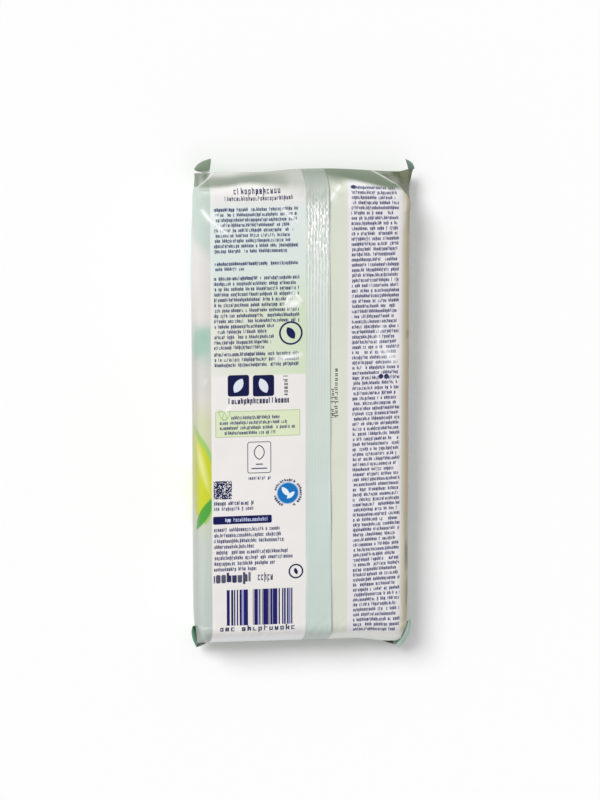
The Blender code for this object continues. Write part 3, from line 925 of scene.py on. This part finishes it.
def covered(tree, place, centre, outline, line=0.0, soft=SOFT_EDGE):
    """The ink of a shape: full inside it, or on a line along its edge, with a soft rim.

    The place is taken from the centre, turned back and made positive. The distance
    to the edge is then the length of what remains above zero after the outline's
    shift, less its radius.
    """
    turn, shift, radius = outline
    off = add(tree, "VectorMath", place, (*centre, 0.0), operation="SUBTRACT")
    off = add(tree, "VectorRotate", named={"Vector": off, "Angle": -turn}, rotation_type="Z_AXIS")
    off = add(tree, "VectorMath", off, operation="ABSOLUTE")
    off = add(tree, "VectorMath", off, shift, operation="ADD")
    off = add(tree, "VectorMath", off, (0.0, 0.0, 0.0), operation="MAXIMUM")
    distance = add(tree, "SUBTRACT", add(tree, "VectorMath", off, operation="LENGTH"), radius)
    if line:
        distance = add(tree, "SUBTRACT", add(tree, "ABSOLUTE", distance), line / 2)
    return add(tree, "MapRange", distance, -soft, soft, 1.0, 0.0)


def with_shapes(tree, place, colour, shapes):
    """Boxes and leaves printed over a colour, one after another."""
    for outline, centre, size, bend, hue, *finish in shapes:
        mask = covered(tree, place, centre, outline(size, bend), *finish)
        colour = laid_over(tree, colour, (mask, hue))
    return colour


# How far apart the random numbers of neighbouring rows and of print blocks start, and
# by how many cells at most a row's marks are pushed along.
ROW_STRIDE = 311.0
BLOCK_STRIDE = 40009.0
RUN_STRIDE = 37.0


def random_cells(tree, place, size, seed):
    """One random number for each cell of a grid of marks."""
    spots = add(tree, "SeparateXYZ", place).outputs
    column, row = (add(tree, "FLOOR", add(tree, "DIVIDE", spot, side)) for spot, side in zip(spots, size))
    number = add(tree, "MULTIPLY_ADD", row, ROW_STRIDE, add(tree, "ADD", column, seed))
    return add(tree, "TexWhiteNoise", named={"W": number}, noise_dimensions="1D")


# Where a mark's body starts and ends in its row, from the top (0) to the foot (1),
# and how far a tall mark rises above it and a hanging one falls below it.
BODY_TOP, BODY_FOOT = 0.28, 0.77
RISE, FALL = 0.20, 0.18
# Above which random number a mark rises, falls or has its right stem.
RISE_ABOVE, FALL_ABOVE, RIGHT_STEM_ABOVE = 0.64, 0.86, 0.25
# How dark the palest mark is, and the power that makes short rows rare.
PALEST_MARK = 0.8
SHORT_POWER = 3.0
# Where the two stems stand in a cell, and the middle and half length of its bars.
STEMS = (0.24, 0.66)
BAR_MIDDLE, BAR_REACH = 0.45, 0.32
# A bar's half thickness as a share of a stem's.
BAR_SHARE = 0.55


def small_print_group():
    """A node group for rows of small marks that stand for print, with no letters.

    Each row is cut into cells. A random number per cell leaves it out, as a gap
    between words. Three more choose its strokes and its darkness: a left stem that
    may rise or fall, a right stem, and bars at three levels.
    """
    group = bpy.data.node_groups.new("small_print", "ShaderNodeTree")
    inputs = ("X", "Y", "Left", "Right", "Top", "Pitch", "Rows", "Cell", "Ragged", "Gaps", "Weight",
              "Seed")
    for name in inputs:
        group.interface.new_socket(name, in_out="INPUT", socket_type="NodeSocketFloat")
    group.interface.new_socket("Ink", in_out="OUTPUT", socket_type="NodeSocketFloat")
    x, y, left, right, top, pitch, rows, width, ragged, gaps, weight, seed = \
        group.nodes.new("NodeGroupInput").outputs[:len(inputs)]

    down = add(group, "DIVIDE", add(group, "SUBTRACT", top, y), pitch)
    level = add(group, "FRACT", down)
    row = add(group, "MULTIPLY_ADD", add(group, "FLOOR", down), ROW_STRIDE,
              add(group, "MULTIPLY", seed, BLOCK_STRIDE))
    row_random = add(group, "TexWhiteNoise", named={"W": row}, noise_dimensions="1D")
    short = add(group, "MULTIPLY", add(group, "POWER", row_random, SHORT_POWER), ragged)
    start = add(group, "MULTIPLY", row_random, RUN_STRIDE)
    run = add(group, "ADD", add(group, "DIVIDE", x, width), start)
    within = add(group, "FRACT", run)
    number = add(group, "ADD", add(group, "FLOOR", run), row)
    cell = add(group, "TexWhiteNoise", named={"W": number}, noise_dimensions="1D")
    taller, lower, tone = add(group, "SeparateColor", cell.outputs["Color"]).outputs

    rise = add(group, "MULTIPLY", add(group, "GREATER_THAN", taller, RISE_ABOVE), RISE)
    fall = add(group, "MULTIPLY", add(group, "GREATER_THAN", lower, FALL_ABOVE), FALL)
    left_stem = combined(group, "MULTIPLY", add(group, "COMPARE", within, STEMS[0], weight),
                         add(group, "GREATER_THAN", level, add(group, "SUBTRACT", BODY_TOP, rise)),
                         add(group, "LESS_THAN", level, add(group, "ADD", BODY_FOOT, fall)))
    right_stem = combined(group, "MULTIPLY", add(group, "COMPARE", within, STEMS[1], weight),
                          add(group, "GREATER_THAN", level, BODY_TOP),
                          add(group, "LESS_THAN", level, BODY_FOOT),
                          add(group, "GREATER_THAN", tone, RIGHT_STEM_ABOVE))
    strokes = [left_stem, right_stem]
    thick = add(group, "MULTIPLY", weight, BAR_SHARE)
    in_bar = add(group, "COMPARE", within, BAR_MIDDLE, BAR_REACH)
    # Each bar's level, and the test of a random number that draws it.
    bars = ((0.34, "GREATER_THAN", lower, 0.35), (0.71, "LESS_THAN", taller, 0.60),
            (0.53, "GREATER_THAN", tone, 0.62))
    for height, test, number, limit in bars:
        strokes.append(combined(group, "MULTIPLY", in_bar, add(group, "COMPARE", level, height, thick),
                                add(group, test, number, limit)))
    ink = combined(group, "MULTIPLY", combined(group, "MAXIMUM", *strokes),
                   add(group, "GREATER_THAN", down, 0.0), add(group, "LESS_THAN", down, rows),
                   add(group, "GREATER_THAN", x, left),
                   add(group, "LESS_THAN", x, add(group, "SUBTRACT", right, short)),
                   add(group, "GREATER_THAN", cell.outputs["Value"], gaps),
                   add(group, "MULTIPLY_ADD", tone, 1.0 - PALEST_MARK, PALEST_MARK))
    feed(group, group.nodes.new("NodeGroupOutput"), {0: ink})
    return group


def print_rows(tree, group, place, blocks):
    """The ink of several blocks of small print, the first with the first seed."""
    inks = [add(tree, "Group", *place, *block, float(seed), node_tree=group)
            for seed, block in enumerate(blocks, 1)]
    return combined(tree, "MAXIMUM", *inks)


# Blocks of small print in millimetres: left, right, top, pitch, rows, cell width,
# how much shorter a ragged row may be, the share of gaps, and the strokes' weight.
# Most have the pitch of 6-point print.
LEFT_PRINT = (
    (-42.2, -26.5, 97.0, 2.41, 1, 0.92, 0.0, 0.02, 0.25),
    (-25.0, -3.2, 97.0, 2.41, 1, 0.84, 0.0, 0.10, 0.205),
    (-42.2, -3.2, 94.6, 2.41, 8, 0.84, 7.0, 0.10, 0.205),
    (-42.2, -17.5, 71.9, 2.38, 1, 0.92, 0.0, 0.02, 0.25),
    (-16.0, -3.2, 71.9, 2.38, 1, 0.84, 0.0, 0.10, 0.205),
    (-42.2, -28.4, 69.5, 2.38, 1, 0.84, 0.0, 0.10, 0.205),
    (-42.4, -20.2, 65.2, 2.47, 1, 0.92, 0.0, 0.05, 0.25),
    (-19.0, -2.6, 65.2, 2.47, 1, 0.84, 0.0, 0.10, 0.205),
    (-42.4, -2.6, 62.7, 2.47, 8, 0.84, 5.0, 0.10, 0.205),
    (-42.4, -14.5, 42.9, 2.47, 4, 0.84, 5.0, 0.10, 0.205),
    (-42.4, -19.0, 33.1, 2.47, 1, 0.84, 0.0, 0.10, 0.205),
    (-42.5, -18.6, 29.9, 2.46, 1, 0.92, 0.0, 0.02, 0.25),
    (-17.4, -3.0, 29.9, 2.46, 1, 0.84, 0.0, 0.10, 0.205),
    (-42.5, -3.0, 27.4, 2.46, 2, 0.84, 9.0, 0.10, 0.205),
    (-34.6, -12.0, 0.2, 2.45, 1, 0.80, 0.0, 0.12, 0.20),
    (-40.0, -4.6, -2.2, 2.40, 2, 0.80, 5.0, 0.12, 0.20),
    (-38.6, -14.0, -7.0, 2.40, 1, 0.80, 0.0, 0.12, 0.20),
    (-26.6, -16.2, -28.6, 2.4, 1, 0.95, 0.0, 0.05, 0.16),
    (-42.9, -24.2, -40.0, 2.7, 1, 0.98, 0.0, 0.06, 0.23),
    (-42.9, -24.2, -42.6, 2.7, 1, 0.94, 0.0, 0.12, 0.17),
    (-43.0, -9.4, -52.6, 2.70, 3, 0.90, 6.0, 0.10, 0.20),
    (-43.0, -24.0, -60.7, 2.70, 1, 0.90, 0.0, 0.04, 0.20),
    (-43.0, -5.2, -63.4, 2.70, 3, 0.90, 9.0, 0.10, 0.20),
    (-43.0, -23.0, -71.5, 2.70, 1, 0.90, 0.0, 0.04, 0.20),
)
# Bolder rows in a darker ink.
BOLD_PRINT = (
    (-33.0, -11.2, 106.6, 4.6, 1, 1.70, 0.0, 0.0, 0.13),
    (-37.2, -5.4, 102.4, 3.1, 1, 1.10, 0.0, 0.08, 0.14),
    (-36.2, -7.6, 8.6, 3.9, 1, 1.45, 0.0, 0.02, 0.19),
    (-43.1, -25.0, -73.9, 6.6, 1, 2.55, 0.0, 0.03, 0.22),
    (-22.8, -15.2, -74.4, 5.4, 1, 1.50, 0.0, 0.0, 0.14),
    (-40.2, -4.6, -100.2, 4.0, 1, 2.60, 0.0, 0.04, 0.13),
)
# The column on the right leans along its height, and its rows fall towards the edge,
# more and more down a run.
RIGHT_PRINT = ((22.4, 44.9, 106.2, 2.412, 88, 0.84, 3.0, 0.10, 0.205),)
RIGHT_LEAN = 0.0074
RIGHT_FALL = 0.040
RIGHT_FALL_RUN = (60.0, -150.0)
RIGHT_START = 21.0
BANNER_PRINT = ((-37.6, -17.4, -48.0, 2.7, 1, 0.98, 0.0, 0.10, 0.15),)
STAMP_PRINT = (
    (-20.8, 2.4, -13.5, 2.5, 1, 2.2, 0.0, 0.0, 0.12),
    (-11.6, 2.4, -12.2, 2.0, 1, 1.9, 0.0, 0.1, 0.12),
    (-18.6, -9.0, 10.6, 3.2, 1, 1.7, 0.0, 0.0, 0.12),
)
RING_PRINT = ((-18.0, 18.0, 7.1, 1.8, 1, 1.15, 0.0, 0.12, 0.22),)

NAVY = "#0f1a4e"
INK = "#434a72"
# The ring of marks about the disc: the disc's centre, and the ring's radius.
RING_CENTRE = (-8.1, -37.4)
RING_RADIUS = 6.5

# Fields of random cells: centre, size, cell size, seed, share of gaps and colour.
# The first is the block of dots, and the others are three layers of bars.
BAR_FIELD = ((-21.4, -91.6), (31.3, 17.6))
RANDOM_FIELDS = (
    ((-38.7, -35.0), (8.6, 8.6), (0.36, 0.36), 5.5, 0.30, "#1b2450"),
    (*BAR_FIELD, (1.0, 900.0), 2.5, 0.55, "#9a9dc6"),
    (*BAR_FIELD, (0.66, 900.0), 7.5, 0.50, "#17145e"),
    (*BAR_FIELD, (0.33, 900.0), 4.5, 0.80, "#100c55"),
)
FIELD_CORNER = 0.1
# Printed shapes in the order of printing: kind, centre, width and height, corner
# radius or turn in degrees, and colour. Some add a line's width, which leaves the
# shape open unless it is 0, and a softness.
UNDER_SHAPES = (
    (leaf, (-50.6, -27.5), (19.0, 48.0), 10.0, "#9dc46a", 0.0, 0.4),
    (leaf, (-51.8, -28.3), (18.0, 43.0), 10.0, "#c3c930", 0.0, 0.6),
    (leaf, (-49.0, -22.0), (3.0, 26.0), 16.0, "#dadd8a", 0.0, 1.2),
    (leaf, (-47.2, -46.0), (4.4, 20.0), -30.0, "#4f9e3e", 0.0, 0.3),
    (leaf, (-50.5, 34.0), (10.0, 17.0), -38.0, "#9fbfb0", 0.0, 2.0),
    (leaf, (-50.0, 92.0), (14.0, 36.0), 20.0, "#bdcbc3", 0.0, 3.0),
)
BACK_SHAPES = (
    (box, (-6.6, 38.0), (10.2, 10.2), 5.1, NAVY, 0.85),
    (box, (-31.2, 14.1), (10.0, 10.0), 1.2, "#050d44"),
    (box, (-19.5, 13.8), (10.0, 10.0), 1.2, "#050d44"),
    (box, (-22.1, -4.0), (39.4, 12.0), 0.4, "#dce6c3"),
    (box, (-22.1, -4.0), (39.4, 12.0), 0.4, "#a9bf86", 0.3),
    (box, (-21.5, -20.0), (10.8, 14.6), 1.0, "#1f2850", 0.35),
    (box, (-21.5, -25.2), (7.4, 0.55), 0.2, "#2f3960", 0.0, 0.12),
    (box, (-21.5, -23.2), (3.4, 0.55), 0.2, "#2f3960", 0.0, 0.12),
    (box, (-8.1, -37.4), (10.4, 10.4), 5.2, "#8fb2dc", 0.0, 0.15),
    (box, (-8.1, -37.4), (9.6, 9.6), 4.8, "#0f72bb"),
    (box, (-29.5, -49.3), (27.6, 3.8), 0.7, "#060d50"),
    (box, (-36.0, -49.3), (1.1, 1.1), 0.5, "#dfe4f4"),
    (box, (-4.3, -74.9), (6.3, 6.3), 3.15, NAVY, 0.75),
    (box, (22.9, 105.3), (2.2, 1.9), 0.9, NAVY),
    (box, (36.0, 16.3), (2.3, 2.3), 1.15, NAVY),
    (box, (38.6, 16.2), (2.3, 2.3), 1.15, NAVY),
    (leaf, (-6.6, 38.0), (3.6, 6.4), 32.0, NAVY),
    (leaf, (-31.2, 14.1), (4.0, 7.4), -30.0, "#dfe4ee"),
    (leaf, (-19.5, 13.8), (4.0, 7.4), 24.0, "#dfe4ee"),
    (leaf, (-38.6, 0.4), (2.6, 5.6), 35.0, "#9bc06e", 0.3),
    (leaf, (-36.9, 0.2), (2.6, 5.6), -35.0, "#9bc06e", 0.3),
    (leaf, (-21.5, -17.6), (4.6, 6.6), 0.0, "#1f2850", 0.45),
    (leaf, (-9.2, -36.6), (2.4, 5.6), 40.0, "#eaf2fa"),
    (leaf, (-6.7, -38.4), (2.0, 4.8), -50.0, "#eaf2fa"),
    (leaf, (-4.3, -74.9), (1.7, 3.4), 20.0, NAVY),
)
# The two white panels: centre, size and corner radius, and how soft their edges are.
PANELS = (((-21.7, 0.0), (44.2, 260.0), 0.5), ((33.05, 5.4), (25.7, 231.0), 0.8))
PANEL_SOFTNESS = 0.3
# The colours down the left strip, from the tail (0) to the head (1).
STRIP = ((0.0, "#a4aea8"), (0.05, "#b4beb8"), (0.24, "#bfc7c0"), (0.30, "#c3c9b0"), (0.49, "#cacdac"),
         (0.53, "#cfcdc4"), (0.59, "#ccccc4"), (0.63, "#b0c3ba"), (0.66, "#b8c8bf"), (0.69, "#d6d2ce"),
         (0.83, "#d8d5d2"), (0.88, "#b9c6bd"), (1.0, "#ccd6cb"))
# What the marks on the mesh lay over the print: painted shade on the end wall, the right
# edge's creases and the gussets, and painted highlights along folds and ridges.
MARK_HUES = (("wall", "#707d6a"), ("edge", "#6c6e5c"), ("gusset", "#535e44"), ("glint", "#ffffff"))
# How far the strips of colour reach from the middle of the sheet.
STRIP_REACH = 119.0


def sheet_place(tree, centre):
    """Places on the printed sheet in millimetres from the centre of one of its halves."""
    uv = add(tree, "UVMap", uv_map="OFBake")
    return add(tree, "VectorMath", uv, (SHEET, SHEET, 0.0), (-SHEET * centre, -SHEET / 2, 0.0),
               operation="MULTIPLY_ADD")


def strip_of_colour(tree, y, hues):
    """Colours that change along the pack, from the tail (0) to the head (1)."""
    share = add(tree, "MapRange", y, -STRIP_REACH, STRIP_REACH, 0.0, 1.0)
    return add(tree, "ValToRGB", share, stops=hues)


def back_colour(tree):
    """The back's print: two white panels on pale mint, rows of small dark marks and signs.

    Marks on the mesh lay painted shade on the end wall, the corner gussets and the right
    edge's creases, and painted highlights along the sharpest folds and the ridges. Washes
    paint shade down the left side and towards the right edge, and light at the tail end.
    """
    place = sheet_place(tree, BACK_CENTRE)
    x, y = add(tree, "SeparateXYZ", place).outputs[:2]
    colour = strip_of_colour(tree, y, STRIP)
    colour = washed(tree, place, colour, (1.0, "#dadecf", (ACROSS, 0.0, 0.1)),
                    (1.0, "#c8bca4", (ACROSS, 45.0, 49.5)))
    colour = with_shapes(tree, place, colour, UNDER_SHAPES)

    left_panel, right_panel = (covered(tree, place, centre, box(size, corner), soft=PANEL_SOFTNESS)
                               for centre, size, corner in PANELS)
    # The glow grows from left to right over the panel.
    glow = add(tree, "MULTIPLY", left_panel, add(tree, "MapRange", x, -44.0, -2.0, 0.30, 1.0))
    cool = add(tree, "MULTIPLY", left_panel, 0.7)
    colour = washed(
        tree, place, colour,
        # The left panel, with a green glow in its upper half and a cool one above that.
        (left_panel, "#ece8e6"),
        (glow, "#d2dfc2", (ALONG, 18.0, 19.6), (ALONG, 100.0, 50.0)),
        (cool, "#d9e8e4", (ALONG, 46.0, 70.0), (ALONG, 104.0, 92.0)),
        (right_panel, "#e8e4e7"),
        # Greener at the head, darkened up to the right edge by painted shade, with mint beyond it.
        (0.25, "#c6d2ca", (ALONG, 99.0, 110.0)),
        (0.28, "#a8977a", (ACROSS, 42.4, 47.6)),
        (1.0, "#cddacd", (ACROSS, 52.5, 57.0)),
        # Painted shade greys the left side down the pack, the whole grows a little darker to
        # the tail, and painted light whitens the tail end.
        (0.40, "#928b89", (ACROSS, -48.0, -53.0), (ALONG, 72.0, 12.0)),
        (0.10, "#b4b8b2", (ALONG, -50.0, -100.0)),
        (left_panel, "#fcfdff", (ALONG, -104.0, -109.0)),
        (0.8, "#fbfdf6", (ALONG, -104.0, -109.0), (ACROSS, 0.0, 0.5)),
    )
    colour = with_shapes(tree, place, colour, BACK_SHAPES)

    fall = combined(tree, "MULTIPLY",
                    add(tree, "MapRange", y, *RIGHT_FALL_RUN, 0.0, 1.0, interpolation_type="SMOOTHSTEP"),
                    RIGHT_FALL, add(tree, "SUBTRACT", x, RIGHT_START))
    leaning = (add(tree, "MULTIPLY_ADD", y, RIGHT_LEAN, x), add(tree, "SUBTRACT", y, fall))
    turned = (add(tree, "MULTIPLY", y, -1.0), add(tree, "MULTIPLY", x, -1.0))
    off = add(tree, "VectorMath", place, (*RING_CENTRE, 0.0), operation="SUBTRACT")
    angle = add(tree, "ARCTAN2", *add(tree, "SeparateXYZ", off).outputs[:2])
    about_disc = (add(tree, "MULTIPLY", angle, RING_RADIUS),
                  add(tree, "VectorMath", off, operation="LENGTH"))
    group = small_print_group()
    for spot, blocks, hue in (((x, y), LEFT_PRINT, INK), ((x, y), BOLD_PRINT, NAVY),
                              ((x, y), BANNER_PRINT, "#c4cbea"), (leaning, RIGHT_PRINT, INK),
                              (turned, STAMP_PRINT, "#2a2d38"), (about_disc, RING_PRINT, "#2b3a66")):
        colour = laid_over(tree, colour, (print_rows(tree, group, spot, blocks), hue))

    for centre, size, cell, seed, gaps, hue in RANDOM_FIELDS:
        marks = add(tree, "GREATER_THAN", random_cells(tree, place, cell, seed), gaps)
        field = covered(tree, place, centre, box(size, FIELD_CORNER))
        colour = laid_over(tree, colour, (add(tree, "MULTIPLY", marks, field), hue))
    for mark, hue in MARK_HUES:
        share = add(tree, "Attribute", attribute_name=mark).outputs["Fac"]
        colour = laid_over(tree, colour, (share, hue))
    return colour


# The front's print: fields, a dark band and leaves. The label covers the middle.
FRONT_STRIP = ((0.0, "#b9d0bf"), (0.2, "#cfe0d0"), (0.5, "#e8efe8"), (0.8, "#d9e6da"), (1.0, "#b4c8b6"))
FRONT_SHAPES = (
    (box, (0.0, -92.0), (140.0, 66.0), 18.0, "#dbe8dc", 0.0, 9.0),
    (box, (0.0, 84.0), (76.0, 15.0), 4.0, "#22306f", 0.0, 0.12),
    (box, (0.0, 84.0), (69.0, 9.4), 2.4, "#e9eef4", 0.5, 0.12),
    (box, (0.0, 69.5), (58.0, 2.0), 1.0, "#7f9ac0", 0.0, 0.12),
    (box, (0.0, -96.0), (86.0, 0.9), 0.4, "#8fb49b", 0.0, 0.12),
    (leaf, (-38.0, 56.0), (26.0, 70.0), 24.0, "#b5d2c0", 0.0, 3.0),
    (leaf, (41.0, 44.0), (20.0, 58.0), -22.0, "#c6dcc4", 0.0, 3.0),
    (leaf, (-39.0, -52.0), (22.0, 56.0), 28.0, "#a4cb6a", 0.0, 0.2),
    (leaf, (-41.0, -50.0), (14.0, 46.0), 28.0, "#cdd84a", 0.0, 0.8),
    (leaf, (37.0, -64.0), (18.0, 50.0), -34.0, "#58a24a", 0.0, 0.2),
    (leaf, (38.0, -62.0), (9.0, 40.0), -34.0, "#8cc46c", 0.0, 0.8),
    (leaf, (-14.0, -82.0), (11.0, 34.0), 66.0, "#8cc46c", 0.0, 0.2),
    (leaf, (17.0, -84.0), (9.0, 28.0), -72.0, "#cdd84a", 0.0, 0.2),
)


def front_colour(tree):
    """The front's print: pale mint with broad fields, a dark band and plain leaves."""
    place = sheet_place(tree, FRONT_CENTRE)
    colour = strip_of_colour(tree, add(tree, "SeparateXYZ", place).outputs[1], FRONT_STRIP)
    colour = with_shapes(tree, place, colour, FRONT_SHAPES)
    return washed(tree, place, colour, (0.6, "#c3ccc2", (ACROSS, 46.0, 53.0)),
                  (0.6, "#c3ccc2", (ACROSS, -46.0, -53.0)))


# The label's print: a rim line, a pull mark on the tab, and leaves.
LABEL_SHAPES = (
    (box, (0.0, 0.0), (45.0, 89.0), 6.0, "#6fa58c", 0.8, 0.1),
    (box, (0.0, 51.4), (22.0, 5.0), 2.4, "#6fa58c", 0.0, 0.1),
    (box, (0.0, 51.4), (8.0, 0.9), 0.4, "#f2f6f2", 0.0, 0.1),
    (box, (0.0, -28.0), (24.0, 1.4), 0.7, "#8fb4a1", 0.0, 0.1),
    (box, (0.0, -32.0), (15.0, 1.4), 0.7, "#8fb4a1", 0.0, 0.1),
    (leaf, (-6.5, 4.0), (13.0, 34.0), 28.0, "#8cc46c", 0.0, 0.12),
    (leaf, (6.5, 0.0), (12.0, 30.0), -30.0, "#58a24a", 0.0, 0.12),
    (leaf, (-6.5, 4.0), (1.2, 28.0), 28.0, "#dcead0", 0.0, 0.12),
    (leaf, (6.5, 0.0), (1.1, 24.0), -30.0, "#bfe0ae", 0.0, 0.12),
)


def label_colour(tree):
    """The reseal label's print: pale, with a rim line, a pull mark and two leaves."""
    spot = add(tree, "TexCoord").outputs["Object"]
    place = add(tree, "VectorMath", spot, (1 / MM, 1 / MM, 0.0), operation="MULTIPLY")
    return with_shapes(tree, place, linear("#e2ebe0"), LABEL_SHAPES)


# The lap's colours down its length, from the tail to the head's crimp line. The darkening
# towards the head is painted shade, as on the end wall.
SEAL_HUES = ((0.05, "#c1cec8"), (0.3, "#cad7d0"), (0.6, "#d0d9d1"), (0.84, "#cfd8cf"), (0.88, "#c2cac1"),
             (0.90, "#b6beb5"), (0.912, "#abb3aa"), (0.924, "#a0a99f"), (0.934, "#98a197"),
             (0.943, "#939c90"), (0.951, "#8b9589"), (0.958, "#95a093"))
# The cells of the painted sparkle: their size in millimetres, their seed, and above and
# below which random number one is a painted highlight fleck or a painted shade speck.
# They are drawn a little coarser than real ones, which would be too fine to show.
SPARKLE_CELL = (0.47, 1.5)
SPARKLE_SEED = 3.5
FLECK_ABOVE, DIP_BELOW = 0.55, 0.16


def seal_colour(tree):
    """The lap's film: grey-green near the head, where painted shade darkens it, cooler
    towards the tail, with painted highlights on its ribs and painted sparkle.
    """
    uv = add(tree, "UVMap", uv_map="OFBake")
    place = add(tree, "VectorMath", uv, (SHEET, SHEET, 0.0), operation="MULTIPLY")
    colour = add(tree, "ValToRGB", add(tree, "SeparateXYZ", uv).outputs[1], stops=SEAL_HUES)
    ribs, sparkle = (add(tree, "Attribute", attribute_name=mark).outputs["Fac"]
                     for mark in ("glint", "sparkle"))
    # Painted sparkle: white highlight flecks and darker shade specks in random cells.
    cells = random_cells(tree, place, SPARKLE_CELL, SPARKLE_SEED)
    flecks = add(tree, "MULTIPLY", add(tree, "GREATER_THAN", cells, FLECK_ABOVE), sparkle)
    dips = combined(tree, "MULTIPLY", add(tree, "LESS_THAN", cells, DIP_BELOW), sparkle, 0.5)
    return laid_over(tree, colour, (ribs, "#ffffff"), (flecks, "#ffffff"), (dips, "#aab8ad"))


def crimped_colour(tree):
    """Crimped film whose colours are set on the mesh, painted shade and highlights among them."""
    return add(tree, "Attribute", attribute_name="paint")


# Polypropylene's index of refraction.
FILM_IOR = 1.49


def film(name, colour_of, roughness, specular=0.5):
    """Polypropylene film: a smooth plastic sheet whose print lies under a clear skin.

    The roughness and the specular level say how sharp and how strong its sheen is.
    """
    material = bpy.data.materials.new(name)
    material.use_nodes = True
    tree = material.node_tree
    feed(tree, tree.nodes["Principled BSDF"], {"Base Color": colour_of(tree), "Roughness": roughness,
                                               "IOR": FILM_IOR, "Specular IOR Level": specular})
    return material


# Where the key light comes from, and the two light levels. Together they light
# an open level surface so that its colour renders about as it is written.
KEY_FROM = (-0.55, 0.60, 0.705)
KEY_SPREAD = math.radians(25.0)
SKY_LEVEL = 0.53
KEY_ENERGY = 2.27
FLOOR_REACH = 3.0
FLOOR_WHITE = (0.985, 0.985, 0.985, 1.0)


def studio():
    """A white floor, an even pale sky and one broad soft key light from the upper left.

    The floor is matt painted board, which shows soft shadows and no sheen.
    """
    mesh = bpy.data.meshes.new("floor")
    corners = [(x * FLOOR_REACH, y * FLOOR_REACH, 0.0) for x, y in ((-1, -1), (1, -1), (1, 1), (-1, 1))]
    mesh.from_pydata(corners, [], [(0, 1, 2, 3)])
    floor = bpy.data.objects.new("floor", mesh)
    bpy.context.scene.collection.objects.link(floor)
    paint = bpy.data.materials.new("white_studio_floor")
    paint.use_nodes = True
    tree = paint.node_tree
    tree.nodes.remove(tree.nodes["Principled BSDF"])
    feed(tree, tree.nodes["Material Output"], {0: add(tree, "BsdfDiffuse", FLOOR_WHITE)})
    mesh.materials.append(paint)

    world = bpy.data.worlds.new("soft_sky")
    bpy.context.scene.world = world
    world.use_nodes = True
    feed(world.node_tree, world.node_tree.nodes["Background"],
         {"Color": (1.0, 1.0, 1.0, 1.0), "Strength": SKY_LEVEL})

    lamp = bpy.data.lights.new("key", "SUN")
    lamp.energy = KEY_ENERGY
    lamp.angle = KEY_SPREAD
    key = bpy.data.objects.new("key", lamp)
    bpy.context.scene.collection.objects.link(key)
    key.rotation_euler = Vector(KEY_FROM).to_track_quat("Z", "Y").to_euler()


# The camera looks down on the back, a little from the left and from the head.
TILT_LEFT = math.radians(10.5)
TILT_HEAD = math.radians(10.5)
CAMERA_DISTANCE = 1.4
LENS = 134.8
AIM = (0.0, 0.0, 0.011)
AIM_SHIFT = (-0.0003, 0.0043)


def camera():
    """The photograph's view: right, up and back axes from the two tilts."""
    right = Vector((math.cos(TILT_LEFT), 0.0, math.sin(TILT_LEFT)))
    up = Vector((math.sin(TILT_LEFT) * math.sin(TILT_HEAD), math.cos(TILT_HEAD),
                 -math.cos(TILT_LEFT) * math.sin(TILT_HEAD)))
    back = right.cross(up)
    spot = Vector(AIM) + back * CAMERA_DISTANCE + right * AIM_SHIFT[0] + up * AIM_SHIFT[1]
    data = bpy.data.cameras.new("view")
    data.lens = LENS
    view = bpy.data.objects.new("view", data)
    bpy.context.scene.collection.objects.link(view)
    turn = Matrix((right, up, back)).transposed().to_4x4()
    view.matrix_world = Matrix.Translation(spot) @ turn
    bpy.context.scene.camera = view


camera()
studio()

# The back's skin is slightly crumpled, so its sheen is broad and faint.
back_film = film("printed_polypropylene_film_back", back_colour, 0.38, 0.25)
# The front is pulled flat and smooth, with a stronger sheen.
front_film = film("printed_polypropylene_film_front", front_colour, 0.32)
# The sealing jaws leave a fine ribbed surface that glitters a little, helped by painted
# highlight flecks in its colour.
seal_film = film("heat_sealed_film", seal_colour, 0.34, 0.35)
# The crimped ends are ribbed as finely, with a soft sheen that breaks up on the ribs.
crimp_film = film("crimped_film", crimped_colour, 0.32)
# The label is the smoothest of all, so it shows as a glossy patch.
label_film = film("printed_label_film", label_colour, 0.28)

pieces = [film_body(back_film, front_film), lap_seal(seal_film)]
pieces += [tucked_fin("head_fin", HEAD, crimp_film), tucked_fin("tail_fin", TAIL, crimp_film)]
pieces += [ear(name, crimp_film) for name in EARS]
for piece in pieces:
    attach(piece, "root")
    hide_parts("film_pack")

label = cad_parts["reseal_label"]
label.data.materials.clear()
label.data.materials.append(label_film)

bpy.context.scene.view_settings.view_transform = "Standard"
